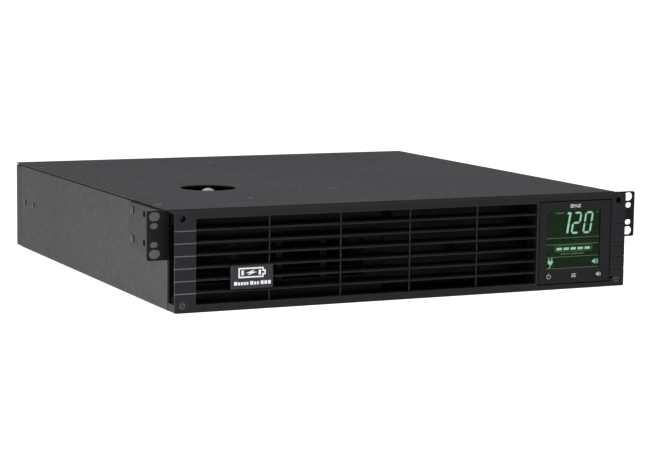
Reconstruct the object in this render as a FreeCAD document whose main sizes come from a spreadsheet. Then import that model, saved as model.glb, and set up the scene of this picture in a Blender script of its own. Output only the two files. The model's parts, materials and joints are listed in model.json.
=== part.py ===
import FreeCAD, Part
import os
import re
import Sketcher
from FreeCAD import Vector, Placement, Rotation

# Two-unit rackmount uninterruptible power supply.
# Frame: X to the right seen from the front, -Y out of the front, +Z up.
# Origin: centre of the footprint, on the underside. Units: millimetres.
# "depth" in the expressions below is counted from the front face of the bezel.

doc = FreeCAD.newDocument("rackmount_ups")
sheet = doc.addObject("Spreadsheet::Sheet", "Dims")

CELLS = [
    ("body_width", 444.0), ("body_height", 86.0), ("body_depth", 460.0),
    ("front_y", -233.4),
    ("bezel_depth", 17.8), ("bezel_plate", 3.4), ("bezel_low", 0.3), ("bezel_high", 85.7),
    ("base_sheet", 1.5), ("cover_sheet", 1.2), ("panel_sheet", 1.2),
    ("rear_wrap", 18.2),
    ("coil_x", -125.4), ("coil_y", 167.6), ("coil_r", 75.0), ("coil_bore", 24.0),
    ("cover_hole_r", 25.8),
    ("grille_left", -203.0), ("grille_right", 127.8), ("grille_low", 6.8), ("grille_high", 79.9),
    ("blade_first", 16.8), ("blade_pitch", 10.62), ("blade_count", 6), ("blade_thick", 1.3),
    ("rib_first", -135.0), ("rib_pitch", 67.3), ("rib_count", 4),
    ("module_left", 131.0), ("module_right", 206.0), ("module_low", 5.7), ("module_high", 80.7),
    ("window_left", 138.2), ("window_right", 195.5), ("window_low", 19.0), ("window_high", 72.7),
    ("button_z", 12.5), ("button_r", 3.9), ("button_travel", 0.8),
    ("power_x", 141.3), ("mode_x", 167.8), ("mute_x", 194.3),
    ("bezel_screw_x", 214.6), ("bezel_screw_up", 80.0), ("bezel_screw_down", 6.2),
    ("ear_reach", 241.3), ("ear_sheet", 2.0), ("ear_plane", 14.5), ("ear_low", 43.9), ("ear_high", 85.9),
    ("ear_mid", 65.1), ("slot_x", 234.5), ("slot_x_small", 235.0), ("slot_pitch_big", 31.75), ("slot_pitch_small", 15.875),
    ("slot_half_big", 3.85), ("slot_half_small", 2.5), ("slot_len_big", 9.9), ("slot_len_small", 7.0),
    ("ear_back", 108.0),
    ("divider_x", -20.0), ("bay_depth", 345.0),
    ("cell_long", 151.0), ("cell_wide", 94.0), ("cell_tall", 65.0),
    ("tray_front", 30.0), ("tray_back", 340.0),
    ("fan_left_x", -172.0), ("fan_right_x", -88.0), ("fan_z", 42.3), ("fan_half", 40.0), ("fan_bore", 38.0),
    ("outlet_first", 4.0), ("outlet_pitch", 38.0), ("outlet_low", 23.0), ("outlet_high", 61.0),
    ("inlet_x", 182.0), ("inlet_z", 23.0),
    ("breaker_x1", 162.0), ("breaker_x2", 188.0), ("breaker_z", 62.0), ("reset_r", 3.4),
    ("ports_x", -32.0),
]
for i, (alias, value) in enumerate(CELLS):
    sheet.set("A%d" % (i + 1), alias)
    sheet.set("B%d" % (i + 1), str(value))
    sheet.setAlias("B%d" % (i + 1), alias)
doc.recompute()


def E(expr):
    """Expression text with every word read as a cell of the sheet."""
    return re.sub(r"[a-z][a-z_0-9]*", lambda m: "Dims." + m.group(0), str(expr))


def V(expr):
    """The number that such an expression has now."""
    words = re.findall(r"[a-z][a-z_0-9]*", str(expr))
    probe = doc.getObject("Dims")
    return float(probe.evalExpression(E(expr))) if words else float(probe.evalExpression(str(expr)))


serial = [0]


def fresh(kind, base):
    serial[0] += 1
    return doc.addObject(kind, "%s_%03d" % (base, serial[0]))


def place(obj, x, y, z, rot=None):
    if rot is not None:
        obj.Placement = Placement(Vector(0, 0, 0), rot)
    obj.setExpression(".Placement.Base.x", E(x))
    obj.setExpression(".Placement.Base.y", E("front_y + (%s)" % y))
    obj.setExpression(".Placement.Base.z", E(z))


def box(x0, x1, y0, y1, z0, z1):
    o = fresh("Part::Box", "block")
    o.setExpression("Length", E("(%s)-(%s)" % (x1, x0)))
    o.setExpression("Width", E("(%s)-(%s)" % (y1, y0)))
    o.setExpression("Height", E("(%s)-(%s)" % (z1, z0)))
    place(o, x0, y0, z0)
    return o


def rod(axis, r, a, b, lo, hi):
    """Cylinder along x, y or z; a and b are the other two coordinates in X, Y, Z order."""
    o = fresh("Part::Cylinder", "rod")
    o.setExpression("Radius", E(r))
    o.setExpression("Height", E("(%s)-(%s)" % (hi, lo)))
    if axis == "z":
        place(o, a, b, lo)
    elif axis == "y":
        place(o, a, lo, b, Rotation(Vector(1, 0, 0), -90))
    else:
        place(o, lo, a, b, Rotation(Vector(0, 1, 0), 90))
    return o


def cone(axis, r1, r2, a, b, lo, hi):
    o = fresh("Part::Cone", "cone")
    o.setExpression("Radius1", E(r1))
    o.setExpression("Radius2", E(r2))
    o.setExpression("Height", E("(%s)-(%s)" % (hi, lo)))
    if axis == "z":
        place(o, a, b, lo)
    elif axis == "y":
        place(o, a, lo, b, Rotation(Vector(1, 0, 0), -90))
    else:
        place(o, lo, a, b, Rotation(Vector(0, 1, 0), 90))
    return o


def fuse(items):
    if len(items) == 1:
        return items[0]
    o = fresh("Part::MultiFuse", "joined")
    o.Shapes = items
    o.Refine = True
    return o


def cut(base, tools):
    o = fresh("Part::Cut", "cut")
    o.Base = base
    o.Tool = fuse(tools)
    o.Refine = True
    return o


def together(items):
    o = fresh("Part::Compound", "group")
    o.Links = items
    return o


def rounded(base, r, pick):
    """Fillet of the edges that pick(edge) accepts."""
    doc.recompute()
    o = fresh("Part::Fillet", "rounded")
    o.Base = base
    o.Edges = [(i + 1, r, r) for i, e in enumerate(base.Shape.Edges) if pick(e)]
    return o


def along(e, axis):
    """True for a straight edge that runs along one axis."""
    b = e.BoundBox
    size = {"x": b.XLength, "y": b.YLength, "z": b.ZLength}
    return e.Curve.TypeId == "Part::GeomLine" and size[axis] > 1e-6 and \
        all(size[k] < 1e-6 for k in size if k != axis)


# ---- PartDesign helpers ---------------------------------------------------
def body(name):
    b = doc.addObject("PartDesign::Body", name + "_body")
    b.setExpression(".Placement.Base.y", E("front_y"))
    return b


def sketch(b, plane, offset="0"):
    """plane XZ: u = X, v = Z, offset is the depth. plane XY: u = X, v = depth, offset is the height.
    plane YZ: u = depth, v = Z, offset is X."""
    face = [f for f in b.Origin.OriginFeatures if f.Role == plane + "_Plane"][0]
    serial[0] += 1
    s = b.newObject("Sketcher::SketchObject", "sketch_%03d" % serial[0])
    s.AttachmentSupport = [(face, "")]
    s.MapMode = "FlatFace"
    sign = "-1" if plane == "XZ" else "1"
    s.setExpression(".AttachmentOffset.Base.z", E("%s*(%s)" % (sign, offset)))
    return s


def pin(s, g, pos, u, v):
    for kind, val in (("DistanceX", u), ("DistanceY", v)):
        k = s.addConstraint(Sketcher.Constraint(kind, -1, 1, g, pos, V(val)))
        s.setExpression("Constraints[%d]" % k, E(val))


def poly(s, pts):
    n0 = s.GeometryCount
    nums = [(V(u), V(v)) for u, v in pts]
    k = len(pts)
    for i in range(k):
        a, b2 = nums[i], nums[(i + 1) % k]
        s.addGeometry(Part.LineSegment(Vector(a[0], a[1], 0), Vector(b2[0], b2[1], 0)), False)
    for i in range(k):
        s.addConstraint(Sketcher.Constraint("Coincident", n0 + i, 2, n0 + (i + 1) % k, 1))
    for i, (u, v) in enumerate(pts):
        pin(s, n0 + i, 1, u, v)


def rect(s, u0, u1, v0, v1):
    poly(s, [(u0, v0), (u1, v0), (u1, v1), (u0, v1)])


def ring(s, u, v, r):
    g = s.addGeometry(Part.Circle(Vector(V(u), V(v), 0), Vector(0, 0, 1), V(r)), False)
    pin(s, g, 3, u, v)
    k = s.addConstraint(Sketcher.Constraint("Radius", g, V(r)))
    s.setExpression("Constraints[%d]" % k, E(r))


def obround(s, u, v, half_len, half_wide):
    """Slot with round ends along u."""
    uu, vv, L, W = V(u), V(v), V(half_len) - V(half_wide), V(half_wide)
    pi = 3.141592653589793
    g0 = s.GeometryCount
    s.addGeometry(Part.ArcOfCircle(Part.Circle(Vector(uu + L, vv, 0), Vector(0, 0, 1), W), -pi / 2, pi / 2), False)
    s.addGeometry(Part.LineSegment(Vector(uu + L, vv + W, 0), Vector(uu - L, vv + W, 0)), False)
    s.addGeometry(Part.ArcOfCircle(Part.Circle(Vector(uu - L, vv, 0), Vector(0, 0, 1), W), pi / 2, 3 * pi / 2), False)
    s.addGeometry(Part.LineSegment(Vector(uu - L, vv - W, 0), Vector(uu + L, vv - W, 0)), False)
    s.addConstraint(Sketcher.Constraint("Tangent", g0, 2, g0 + 1, 1))
    s.addConstraint(Sketcher.Constraint("Tangent", g0 + 1, 2, g0 + 2, 1))
    s.addConstraint(Sketcher.Constraint("Tangent", g0 + 2, 2, g0 + 3, 1))
    s.addConstraint(Sketcher.Constraint("Tangent", g0 + 3, 2, g0, 1))
    pin(s, g0, 3, "(%s)+(%s)-(%s)" % (u, half_len, half_wide), v)
    pin(s, g0 + 2, 3, "(%s)-(%s)+(%s)" % (u, half_len, half_wide), v)
    k = s.addConstraint(Sketcher.Constraint("Radius", g0, W))
    s.setExpression("Constraints[%d]" % k, E(half_wide))


def pad(b, s, length, flip=None):
    serial[0] += 1
    p = b.newObject("PartDesign::Pad", "pad_%03d" % serial[0])
    p.Profile = s
    p.setExpression("Length", E(length))
    p.Reversed = (s.AttachmentSupport[0][0].Role == "XZ_Plane") if flip is None else flip
    b.Tip = p
    doc.recompute()
    return p


def pocket(b, s, length=None, flip=None):
    """Removes the sketch; the direction that takes material away is kept."""
    serial[0] += 1
    before = b.Shape.Volume
    p = b.newObject("PartDesign::Pocket", "pocket_%03d" % serial[0])
    p.Profile = s
    if length is None:
        p.Type = "ThroughAll"
        p.Midplane = True
    else:
        p.setExpression("Length", E(length))
        p.Reversed = bool(flip)
    b.Tip = p
    doc.recompute()
    if length is not None and not (b.Shape.Volume < before - 1e-6):
        p.Reversed = not p.Reversed
        p.touch()
        doc.recompute()
    assert 0 < b.Shape.Volume < before - 1e-6, "pocket removed nothing: %s %s %s %s" % (p.Name, p.State, before, b.Shape.Volume)
    return p


def repeat(b, feature, s, axis, step, count):
    """Linear pattern along the sketch's own axis H_Axis or V_Axis; step and count are cells."""
    serial[0] += 1
    m = b.newObject("PartDesign::LinearPattern", "row_%03d" % serial[0])
    m.Originals = [feature]
    m.Direction = (s, [axis])
    m.setExpression("Length", E("(%s)*((%s)-1)" % (step, count)))
    m.Occurrences = int(V(count))
    b.Tip = m
    doc.recompute()
    return m


def soften(b, name, radius, pick):
    """Fillet of the body's present shape on the edges that pick(edge) accepts."""
    tip = b.Tip
    picks = ["Edge%d" % (i + 1) for i, e in enumerate(tip.Shape.Edges) if pick(e)]
    assert picks, name
    f = b.newObject("PartDesign::Fillet", name)
    f.Base = (tip, picks)
    f.Radius = radius
    b.Tip = f
    doc.recompute()
    return f


NODES = []


def node(obj, label):
    obj.Label = label
    NODES.append((obj, label))
    return obj


def shaped(shape, label):
    """A node whose shape is worked out here from the sheet's cells; built about the bezel's front plane."""
    o = doc.addObject("Part::Feature", label + "_shape")
    o.Shape = shape
    o.setExpression(".Placement.Base.y", E("front_y"))
    return node(o, label)


# ============================================================ CHASSIS SHEETS
# base: floor, two side walls and their inward top flanges, folded from one sheet
b = body("chassis_base")
s = sketch(b, "XZ", "bezel_depth")
w = "body_width/2"
poly(s, [("-" + w, "0"), (w, "0"), (w, "body_height-2.0"), (w + "-14", "body_height-2.0"),
         (w + "-14", "body_height-2.0-base_sheet"), (w + "-base_sheet", "body_height-2.0-base_sheet"),
         (w + "-base_sheet", "base_sheet"), ("-" + w + "+base_sheet", "base_sheet"),
         ("-" + w + "+base_sheet", "body_height-2.0-base_sheet"),
         ("-" + w + "+14", "body_height-2.0-base_sheet"), ("-" + w + "+14", "body_height-2.0"),
         ("-" + w, "body_height-2.0")])
pad(b, s, "body_depth-rear_wrap-bezel_depth-0.6")
s = sketch(b, "YZ", "0")
for yy, zz, rr in (("97.8", "76.9", "1.6"), ("97.8", "51.6", "1.6"), ("68.6", "76.9", "2.5"), ("68.6", "51.6", "2.5"),
                   ("427.6", "47.2", "1.5"), ("399.8", "47.9", "1.5"), ("437.5", "15.8", "1.0"), ("68", "42.4", "0.9")):
    ring(s, yy, zz, rr)
pocket(b, s)
s = sketch(b, "XY", "0")
for sx in ("-", ""):
    for yy in ("58.1", "226", "395.2"):
        ring(s, sx + "214.2", yy, "1.6")
pocket(b, s)
# the two long lower bends
soften(b, "base_bends", 1.4, lambda e: along(e, "y") and e.BoundBox.ZMax < 0.01 and abs(abs(e.BoundBox.XMax) - 222) < 0.01)
node(b, "chassis_base")

# top cover: flat sheet with the round transformer hole and its screw holes
b = body("top_cover")
s = sketch(b, "XY", "body_height-cover_sheet")
rect(s, "-" + w + "+0.5", w + "-0.5", "bezel_depth", "body_depth-1.6")
ring(s, "coil_x", "coil_y", "cover_hole_r")
COVER_SCREWS = [("-214.2", "58.1"), ("214.2", "58.1"), ("-214.2", "226"), ("214.2", "226"), ("-214.2", "395.2"),
                ("214.2", "395.2"), ("-120", "79.8"), ("-15.7", "132.6"), ("-22.2", "294.9"), ("-34.2", "391.1")]
for xx, yy in COVER_SCREWS:
    ring(s, xx, yy, "3.1")
pad(b, s, "cover_sheet")
node(b, "top_cover")

# rear panel: pan with flanges that wrap around the sides, and its cut-outs
b = body("rear_panel")
s = sketch(b, "XZ", "body_depth-rear_wrap")
rect(s, "-" + w, w, "0.3", "body_height-2.0")
pad(b, s, "rear_wrap")
soften(b, "rear_round", 3.0, lambda e: along(e, "z") and e.BoundBox.YMin > 450)
soften(b, "rear_corners", 1.8, lambda e: along(e, "y") and e.BoundBox.YLength > 10)
s = sketch(b, "XZ", "body_depth-rear_wrap")
rect(s, "-" + w + "+1.5", w + "-1.5", "1.6", "body_height-2.0-1.2")
pocket(b, s, "rear_wrap-1.5", False)
s = sketch(b, "XZ", "body_depth")
ring(s, "fan_left_x", "fan_z", "fan_bore")
ring(s, "fan_right_x", "fan_z", "fan_bore")
for sx in ("fan_left_x", "fan_right_x"):
    for dx in ("-35.75", "+35.75"):
        for dz in ("-35.75", "+35.75"):
            ring(s, sx + dx, "fan_z" + dz, "2.2")
pocket(b, s)
s = sketch(b, "XZ", "body_depth")
for row in ("outlet_low", "outlet_high"):
    for c in range(4):
        cx = "outlet_first+%d*outlet_pitch" % c
        rect(s, cx + "-14", cx + "+14", row + "-12.4", row + "+12.4")
rect(s, "inlet_x-17", "inlet_x+17", "inlet_z-13", "inlet_z+13")
for bx in ("breaker_x1", "breaker_x2"):
    ring(s, bx, "breaker_z", "5.2")
ring(s, "inlet_x-22", "inlet_z", "1.6")
ring(s, "inlet_x+22", "inlet_z", "1.6")
rect(s, "ports_x-5.4", "ports_x+5.4", "48", "70")        # serial port
rect(s, "ports_x-6.2", "ports_x+6.2", "30", "41.4")      # square data port
rect(s, "ports_x-7.6", "ports_x+7.6", "9.6", "23")       # telephone-line jack
ring(s, "208", "46", "2.2")                                # ground stud
REAR_SCREWS = [("-216", "78"), ("-216", "8"), ("216", "78"), ("216", "8"), ("-44.6", "8"), ("144", "8"), ("-44.6", "78"),
               ("144", "78")]
for xx, zz in REAR_SCREWS:
    ring(s, xx, zz, "1.6")
pocket(b, s)
node(b, "rear_panel")

# inner front panel on the left: folded sheet with rows of air slots
b = body("inner_front_panel")
s = sketch(b, "XZ", "bezel_depth")
rect(s, "-" + w + "+1.6", "divider_x-0.1", "1.6", "82.4")
pad(b, s, "panel_sheet")
s = sketch(b, "XZ", "bezel_depth-1")                        # room for the tips of the bezel screws
ring(s, "-bezel_screw_x", "bezel_screw_up", "2.1")
ring(s, "-bezel_screw_x", "bezel_screw_down", "2.1")
pocket(b, s, "5", False)
s = sketch(b, "XZ", "bezel_depth")
rect(s, "-200", "-164", "13", "18")
p1 = pocket(b, s, "5", False)
m = b.newObject("PartDesign::MultiTransform", "air_slots")
b.Tip = m
m.Originals = [p1]
l1 = b.newObject("PartDesign::LinearPattern", "air_slots_z")
l1.Direction = (s, ["V_Axis"])
l1.Length = 54.0
l1.Occurrences = 7
l2 = b.newObject("PartDesign::LinearPattern", "air_slots_x")
l2.Direction = (s, ["H_Axis"])
l2.Length = 126.0
l2.Occurrences = 4
m.Transformations = [l1, l2]
b.Tip = m
doc.recompute()
node(b, "inner_front_panel")

# divider wall between the transformer side and the battery bay, with a top flange
b = body("divider_wall")
s = sketch(b, "XZ", "19.1")
poly(s, [("divider_x", "1.6"), ("divider_x+panel_sheet", "1.6"), ("divider_x+panel_sheet", "82.4"), ("divider_x-12", "82.4"),
         ("divider_x-12", "81.2"), ("divider_x", "81.2")])
pad(b, s, "bay_depth-19.1")
s = sketch(b, "XY", "0")
ring(s, "-22.2", "294.9", "1.8")                             # a cover screw passes the flange here
pocket(b, s)
node(b, "divider_wall")

# sheet at the back of the battery bay that holds the fixed half of the power connector
b = body("bay_rear_wall")
s = sketch(b, "XZ", "bay_depth+0.1")
rect(s, "divider_x+1.3", "220.3", "1.6", "82.2")
rect(s, "91", "109", "22", "62")
pad(b, s, "panel_sheet")
node(b, "bay_rear_wall")

# low plastic rails that guide the tray
node(together([box("divider_x+1.4", "divider_x+5.4", "36", "330", "1.6", "26"),
               box("216.2", "220.3", "36", "330", "1.6", "26")]), "tray_rails")

# ================================================================ RACK EARS
def ear(side, label):
    b2 = body(label)
    s2 = sketch(b2, "XY", "ear_low")
    k = "-1*" if side < 0 else "1*"
    poly(s2, [(k + "(body_width/2+0.1)", "ear_plane"), (k + "ear_reach", "ear_plane"), (k + "ear_reach", "ear_plane+ear_sheet"),
              (k + "(body_width/2+0.1+ear_sheet)", "ear_plane+ear_sheet"), (k + "(body_width/2+0.1+ear_sheet)", "ear_back"),
              (k + "(body_width/2+0.1)", "ear_back")])
    pad(b2, s2, "ear_high-ear_low")
    s2 = sketch(b2, "XZ", "ear_plane")
    for x2, z2, hl, hw in (("slot_x", "ear_mid+slot_pitch_big/2", "slot_len_big/2", "slot_half_big"),
                           ("slot_x", "ear_mid-slot_pitch_big/2", "slot_len_big/2", "slot_half_big"),
                           ("slot_x_small", "ear_mid+slot_pitch_small/2", "slot_len_small/2", "slot_half_small"),
                           ("slot_x_small", "ear_mid-slot_pitch_small/2", "slot_len_small/2", "slot_half_small")):
        obround(s2, k + x2, z2, hl, hw)
    pocket(b2, s2, "ear_sheet+1", False)
    s2 = sketch(b2, "YZ", "0")
    for yy, zz, rr in (("97.8", "76.9", "2.1"), ("97.8", "51.6", "2.1"), ("68.6", "76.9", "3.0"), ("68.6", "51.6", "3.0")):
        ring(s2, yy, zz, rr)
    pocket(b2, s2)
    s2 = sketch(b2, "YZ", "0")                                  # the side plate stays below the cover's seam
    rect(s2, "ear_plane+ear_sheet+1.5", "ear_back+1", "ear_high-2.3", "ear_high+1")
    pocket(b2, s2)
    soften(b2, label + "_corners", 1.8, lambda e: (along(e, "y") and e.BoundBox.YLength < 2.5 and
                                                    abs(abs(e.BoundBox.XMax) - 241.3) < 0.05) or
           (along(e, "x") and e.BoundBox.XLength < 2.5 and abs(e.BoundBox.YMax - 108) < 0.05))
    return node(b2, label)


ear(-1, "rack_ear_left")
ear(1, "rack_ear_right")

# ================================================================= FASTENERS
def screw_y(x, y, z, head_r, head_t, shank_r, shank_l, out=-1):
    """Pan head with a cross recess, on an axis along Y; y is the seat of the head, out is the way the head points."""
    hy0, hy1 = ("(%s)-(%s)" % (y, head_t), y) if out < 0 else (y, "(%s)+(%s)" % (y, head_t))
    sy0, sy1 = (y, "(%s)+(%s)" % (y, shank_l)) if out < 0 else ("(%s)-(%s)" % (y, shank_l), y)
    head = rod("y", head_r, x, z, hy0, hy1)
    ry0, ry1 = ("(%s)-0.1" % hy0, "(%s)+(%s)*0.55" % (hy0, head_t)) if out < 0 else \
        ("(%s)-(%s)*0.55" % (hy1, head_t), "(%s)+0.1" % hy1)
    c1 = box("(%s)-(%s)*0.62" % (x, head_r), "(%s)+(%s)*0.62" % (x, head_r), ry0, ry1,
             "(%s)-(%s)*0.15" % (z, head_r), "(%s)+(%s)*0.15" % (z, head_r))
    c2 = box("(%s)-(%s)*0.15" % (x, head_r), "(%s)+(%s)*0.15" % (x, head_r), ry0, ry1,
             "(%s)-(%s)*0.62" % (z, head_r), "(%s)+(%s)*0.62" % (z, head_r))
    return fuse([cut(head, [c1, c2]), rod("y", shank_r, x, z, sy0, sy1)])


def screw_z(x, y, top, head_r, head_t, shank_r, shank_l):
    head = rod("z", head_r, x, y, "(%s)-(%s)" % (top, head_t), top)
    c1 = box("(%s)-(%s)*0.62" % (x, head_r), "(%s)+(%s)*0.62" % (x, head_r),
             "(%s)-(%s)*0.15" % (y, head_r), "(%s)+(%s)*0.15" % (y, head_r), "(%s)-(%s)*0.5" % (top, head_t), "(%s)+0.1" % top)
    c2 = box("(%s)-(%s)*0.15" % (x, head_r), "(%s)+(%s)*0.15" % (x, head_r),
             "(%s)-(%s)*0.62" % (y, head_r), "(%s)+(%s)*0.62" % (y, head_r), "(%s)-(%s)*0.5" % (top, head_t), "(%s)+0.1" % top)
    return fuse([cut(head, [c1, c2]), rod("z", shank_r, x, y, "(%s)-(%s)-(%s)" % (top, head_t, shank_l), "(%s)-(%s)" % (top, head_t))])


def screw_x(side, x, y, z, head_r, head_t, shank_r, shank_l):
    """x is the outer face of the head, given as a positive distance."""
    if side < 0:
        head = rod("x", head_r, y, z, "-(%s)" % x, "-(%s)+(%s)" % (x, head_t))
        shank = rod("x", shank_r, y, z, "-(%s)+(%s)" % (x, head_t), "-(%s)+(%s)+(%s)" % (x, head_t, shank_l))
        r0, r1 = "-(%s)-0.1" % x, "-(%s)+(%s)*0.5" % (x, head_t)
    else:
        head = rod("x", head_r, y, z, "(%s)-(%s)" % (x, head_t), x)
        shank = rod("x", shank_r, y, z, "(%s)-(%s)-(%s)" % (x, head_t, shank_l), "(%s)-(%s)" % (x, head_t))
        r0, r1 = "(%s)-(%s)*0.5" % (x, head_t), "(%s)+0.1" % x
    c1 = box(r0, r1, "(%s)-(%s)*0.62" % (y, head_r), "(%s)+(%s)*0.62" % (y, head_r),
             "(%s)-(%s)*0.15" % (z, head_r), "(%s)+(%s)*0.15" % (z, head_r))
    c2 = box(r0, r1, "(%s)-(%s)*0.15" % (y, head_r), "(%s)+(%s)*0.15" % (y, head_r),
             "(%s)-(%s)*0.62" % (z, head_r), "(%s)+(%s)*0.62" % (z, head_r))
    return fuse([cut(head, [c1, c2]), shank])


case_set = [screw_z(xx, yy, "body_height-0.15", "2.9", "0.95", "1.5", "2.6") for xx, yy in COVER_SCREWS]
ear_set = []
for side in (-1, 1):
    for yy, zz in (("97.8", "76.9"), ("97.8", "51.6")):
        ear_set.append(screw_x(side, "body_width/2+0.1+ear_sheet+0.9", yy, zz, "3.4", "0.9", "1.5", "6"))
node(together(ear_set), "ear_screws")
for side in (-1, 1):
    for yy, zz in (("427.6", "47.2"), ("399.8", "47.9")):
        case_set.append(screw_x(side, "body_width/2+0.8", yy, zz, "2.6", "0.8", "1.4", "3"))
for xx, zz in REAR_SCREWS:
    case_set.append(screw_y(xx, "body_depth", zz, "2.8", "1.8", "1.4", "1.4", 1))
for xx in ("inlet_x-22", "inlet_x+22"):
    case_set.append(screw_y(xx, "body_depth+3", "inlet_z", "2.6", "1.4", "1.4", "5", 1))
node(together(case_set), "case_screws")

# =============================================================== TRANSFORMER
b = body("transformer_toroid")
s = sketch(b, "XZ", "0")
r0, r1, z0, z1, c = V("coil_bore"), V("coil_r"), 5.0, 67.0, 11.0
poly(s, [("coil_bore", "14"), ("coil_bore+7", "5"), ("coil_r-12", "5"), ("coil_r-3.5", "9.5"), ("coil_r", "18"),
         ("coil_r", "54"), ("coil_r-3.5", "62.5"), ("coil_r-12", "67"), ("coil_bore+7", "67"), ("coil_bore", "58")])
rv = b.newObject("PartDesign::Revolution", "coil_turn")
rv.Profile = s
rv.ReferenceAxis = (s, ["V_Axis"])
rv.Angle = 360
b.Tip = rv
doc.recompute()
fl = b.newObject("PartDesign::Fillet", "coil_round")
fl.Base = (rv, ["Edge%d" % (i + 1) for i, e in enumerate(rv.Shape.Edges)
                if e.Curve.TypeId == "Part::GeomCircle"])
fl.Radius = 3.0
b.Tip = fl
doc.recompute()
if "Invalid" in fl.State or "Error" in fl.State:
    b.Tip = rv
    b.removeObject(fl)
    doc.removeObject(fl.Name)
b.setExpression(".Placement.Base.x", E("coil_x"))
b.setExpression(".Placement.Base.y", E("front_y+coil_y"))
node(b, "transformer_toroid")

lo_pad = cut(rod("z", "coil_r-8", "coil_x", "coil_y", "1.6", "4.9"), [rod("z", "7", "coil_x", "coil_y", "1", "5.5")])
hi_pad = cut(rod("z", "coil_r-20", "coil_x", "coil_y", "67.1", "70.1"), [rod("z", "7", "coil_x", "coil_y", "66", "71")])
node(together([lo_pad, hi_pad]), "transformer_pads")
dish = cut(fuse([rod("z", "46", "coil_x", "coil_y", "70.2", "72.2"), cone("z", "30", "16", "coil_x", "coil_y", "72.2", "76")]),
           [rod("z", "6.2", "coil_x", "coil_y", "69", "78")])
node(dish, "transformer_washer")
bolt = fuse([rod("z", "5.9", "coil_x", "coil_y", "1.6", "79"), rod("z", "9.6", "coil_x", "coil_y", "76.1", "77.6"),
             rod("z", "7.6", "coil_x", "coil_y", "77.6", "81.4")])
dome = fresh("Part::Sphere", "dome")
dome.Radius = 8.2
dome.Angle1 = 20
dome.Angle2 = 90
dome.Angle3 = 360
place(dome, "coil_x", "coil_y", "77.6")
nut = fuse([bolt, dome])
node(nut, "transformer_bolt")

# ============================================================== ELECTRONICS
node(box("-214", "-28", "256", "420", "9.6", "11.2"), "control_board")
node(box("-14", "214", "352", "424", "9.6", "11.2"), "power_board")
posts = []
for xx, yy in (("-208", "262"), ("-34", "262"), ("-208", "414"), ("-34", "414"), ("-8", "358"), ("208", "358"), ("-8", "418"), ("208", "418")):
    posts.append(rod("z", "2.6", xx, yy, "1.6", "9.5"))
node(together(posts), "board_standoffs")
fins = []
for k in range(3):
    x0 = -8 + k * 76
    parts_ = [box(str(x0), str(x0 + 62), "384", "388", "11.3", "58")]
    for j in range(7):
        xf = x0 + 2 + j * 9.3
        parts_.append(box("%.2f" % xf, "%.2f" % (xf + 1.8), "388", "404", "11.3", "58"))
    fins.append(fuse(parts_))
node(together(fins), "heatsinks")
tr = []
for k in range(3):
    for j in range(4):
        x0 = -4 + k * 76 + j * 14.4
        tr.append(box("%.2f" % x0, "%.2f" % (x0 + 11), "379.2", "383.9", "16", "34"))
node(together(tr), "power_transistors")
caps = []
for k in (0, 1, 2, 4, 5, 6):                                 # the battery leads pass between the two threes
    caps.append(rod("z", "8.8", "%d" % (0 + k * 33), "363", "11.3", "46"))
for xx, yy in (("-60", "290"), ("-60", "314"), ("-60", "338")):
    caps.append(rod("z", "9.5", xx, yy, "11.3", "47"))
node(together(caps), "bulk_capacitors")
rel = [box("%d" % (-206 + 24 * k), "%d" % (-206 + 24 * k + 19), "386", "412", "11.3", "29") for k in range(5)]
chips = [box("-190", "-154", "300", "336", "11.3", "14.2"), box("-190", "-170", "348", "362", "11.3", "14.2"),
         box("-130", "-96", "270", "300", "11.3", "36"), box("-140", "-90", "330", "356", "11.3", "22"),
         box("-206", "-196", "280", "320", "11.3", "20"), box("-150", "-146", "366", "378", "11.3", "19")]
node(together(rel + chips), "board_components")

# ==================================================================== FANS
def fan_frame(cx):
    f0 = box(cx + "-fan_half", cx + "+fan_half", "433.4", "458.4", "fan_z-fan_half", "fan_z+fan_half")
    f0 = rounded(f0, 4.0, lambda e: along(e, "y"))
    tools = [rod("y", "fan_bore", cx, "fan_z", "432", "460")]
    for dx in ("-35.75", "+35.75"):
        for dz in ("-35.75", "+35.75"):
            tools.append(rod("y", "2.1", cx + dx, "fan_z" + dz, "432", "460"))
    shell = cut(f0, tools)
    hub = [rod("y", "15", cx, "fan_z", "433.4", "437.4"), rod("y", "1.45", cx, "fan_z", "437.4", "452")]
    for x0, x1, z0, z1 in (("-39", "39", "-2", "2"), ("-2", "2", "-39", "39")):
        hub.append(box("%s+(%s)" % (cx, x0), "%s+(%s)" % (cx, x1), "433.4", "436.4", "fan_z+(%s)" % z0, "fan_z+(%s)" % z1))
    return fuse([shell] + hub)


def fan_rotor(cx, label):
    """Hub with nine pitched blades and a bore that runs on the motor's spindle."""
    x0, z0 = V(cx), V("fan_z")
    hub = Part.makeCylinder(16.5, 14.6, Vector(x0, 438.2, z0), Vector(0, 1, 0))
    blades = []
    for k in range(9):
        blade = Part.makeBox(20.0, 1.6, 15.0, Vector(15.5, -0.8, -7.5))
        blade.rotate(Vector(0, 0, 0), Vector(1, 0, 0), 48)
        blade.translate(Vector(0, 0, 0))
        m2 = FreeCAD.Matrix()
        # blade lies along +X with its pitch about X; stand it in the XZ plane about the Y axis
        blade.rotate(Vector(0, 0, 0), Vector(0, 1, 0), 40.0 * k)
        blade.translate(Vector(x0, 445.5, z0))
        blades.append(blade)
    shape = hub.fuse(blades)
    limit = Part.makeCylinder(36.6, 14.6, Vector(x0, 438.2, z0), Vector(0, 1, 0))
    shape = shape.common(limit)
    shape = shape.cut(Part.makeCylinder(1.5, 14.2, Vector(x0, 438.0, z0), Vector(0, 1, 0)))
    shape = shape.removeSplitter()
    if len(shape.Solids) == 1:
        shape = shape.Solids[0]
    return shaped(shape, label)


node(together([fan_frame("fan_left_x"), fan_frame("fan_right_x")]), "fan_frames")
fan_rotor("fan_left_x", "fan_rotor_left")
fan_rotor("fan_right_x", "fan_rotor_right")

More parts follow.
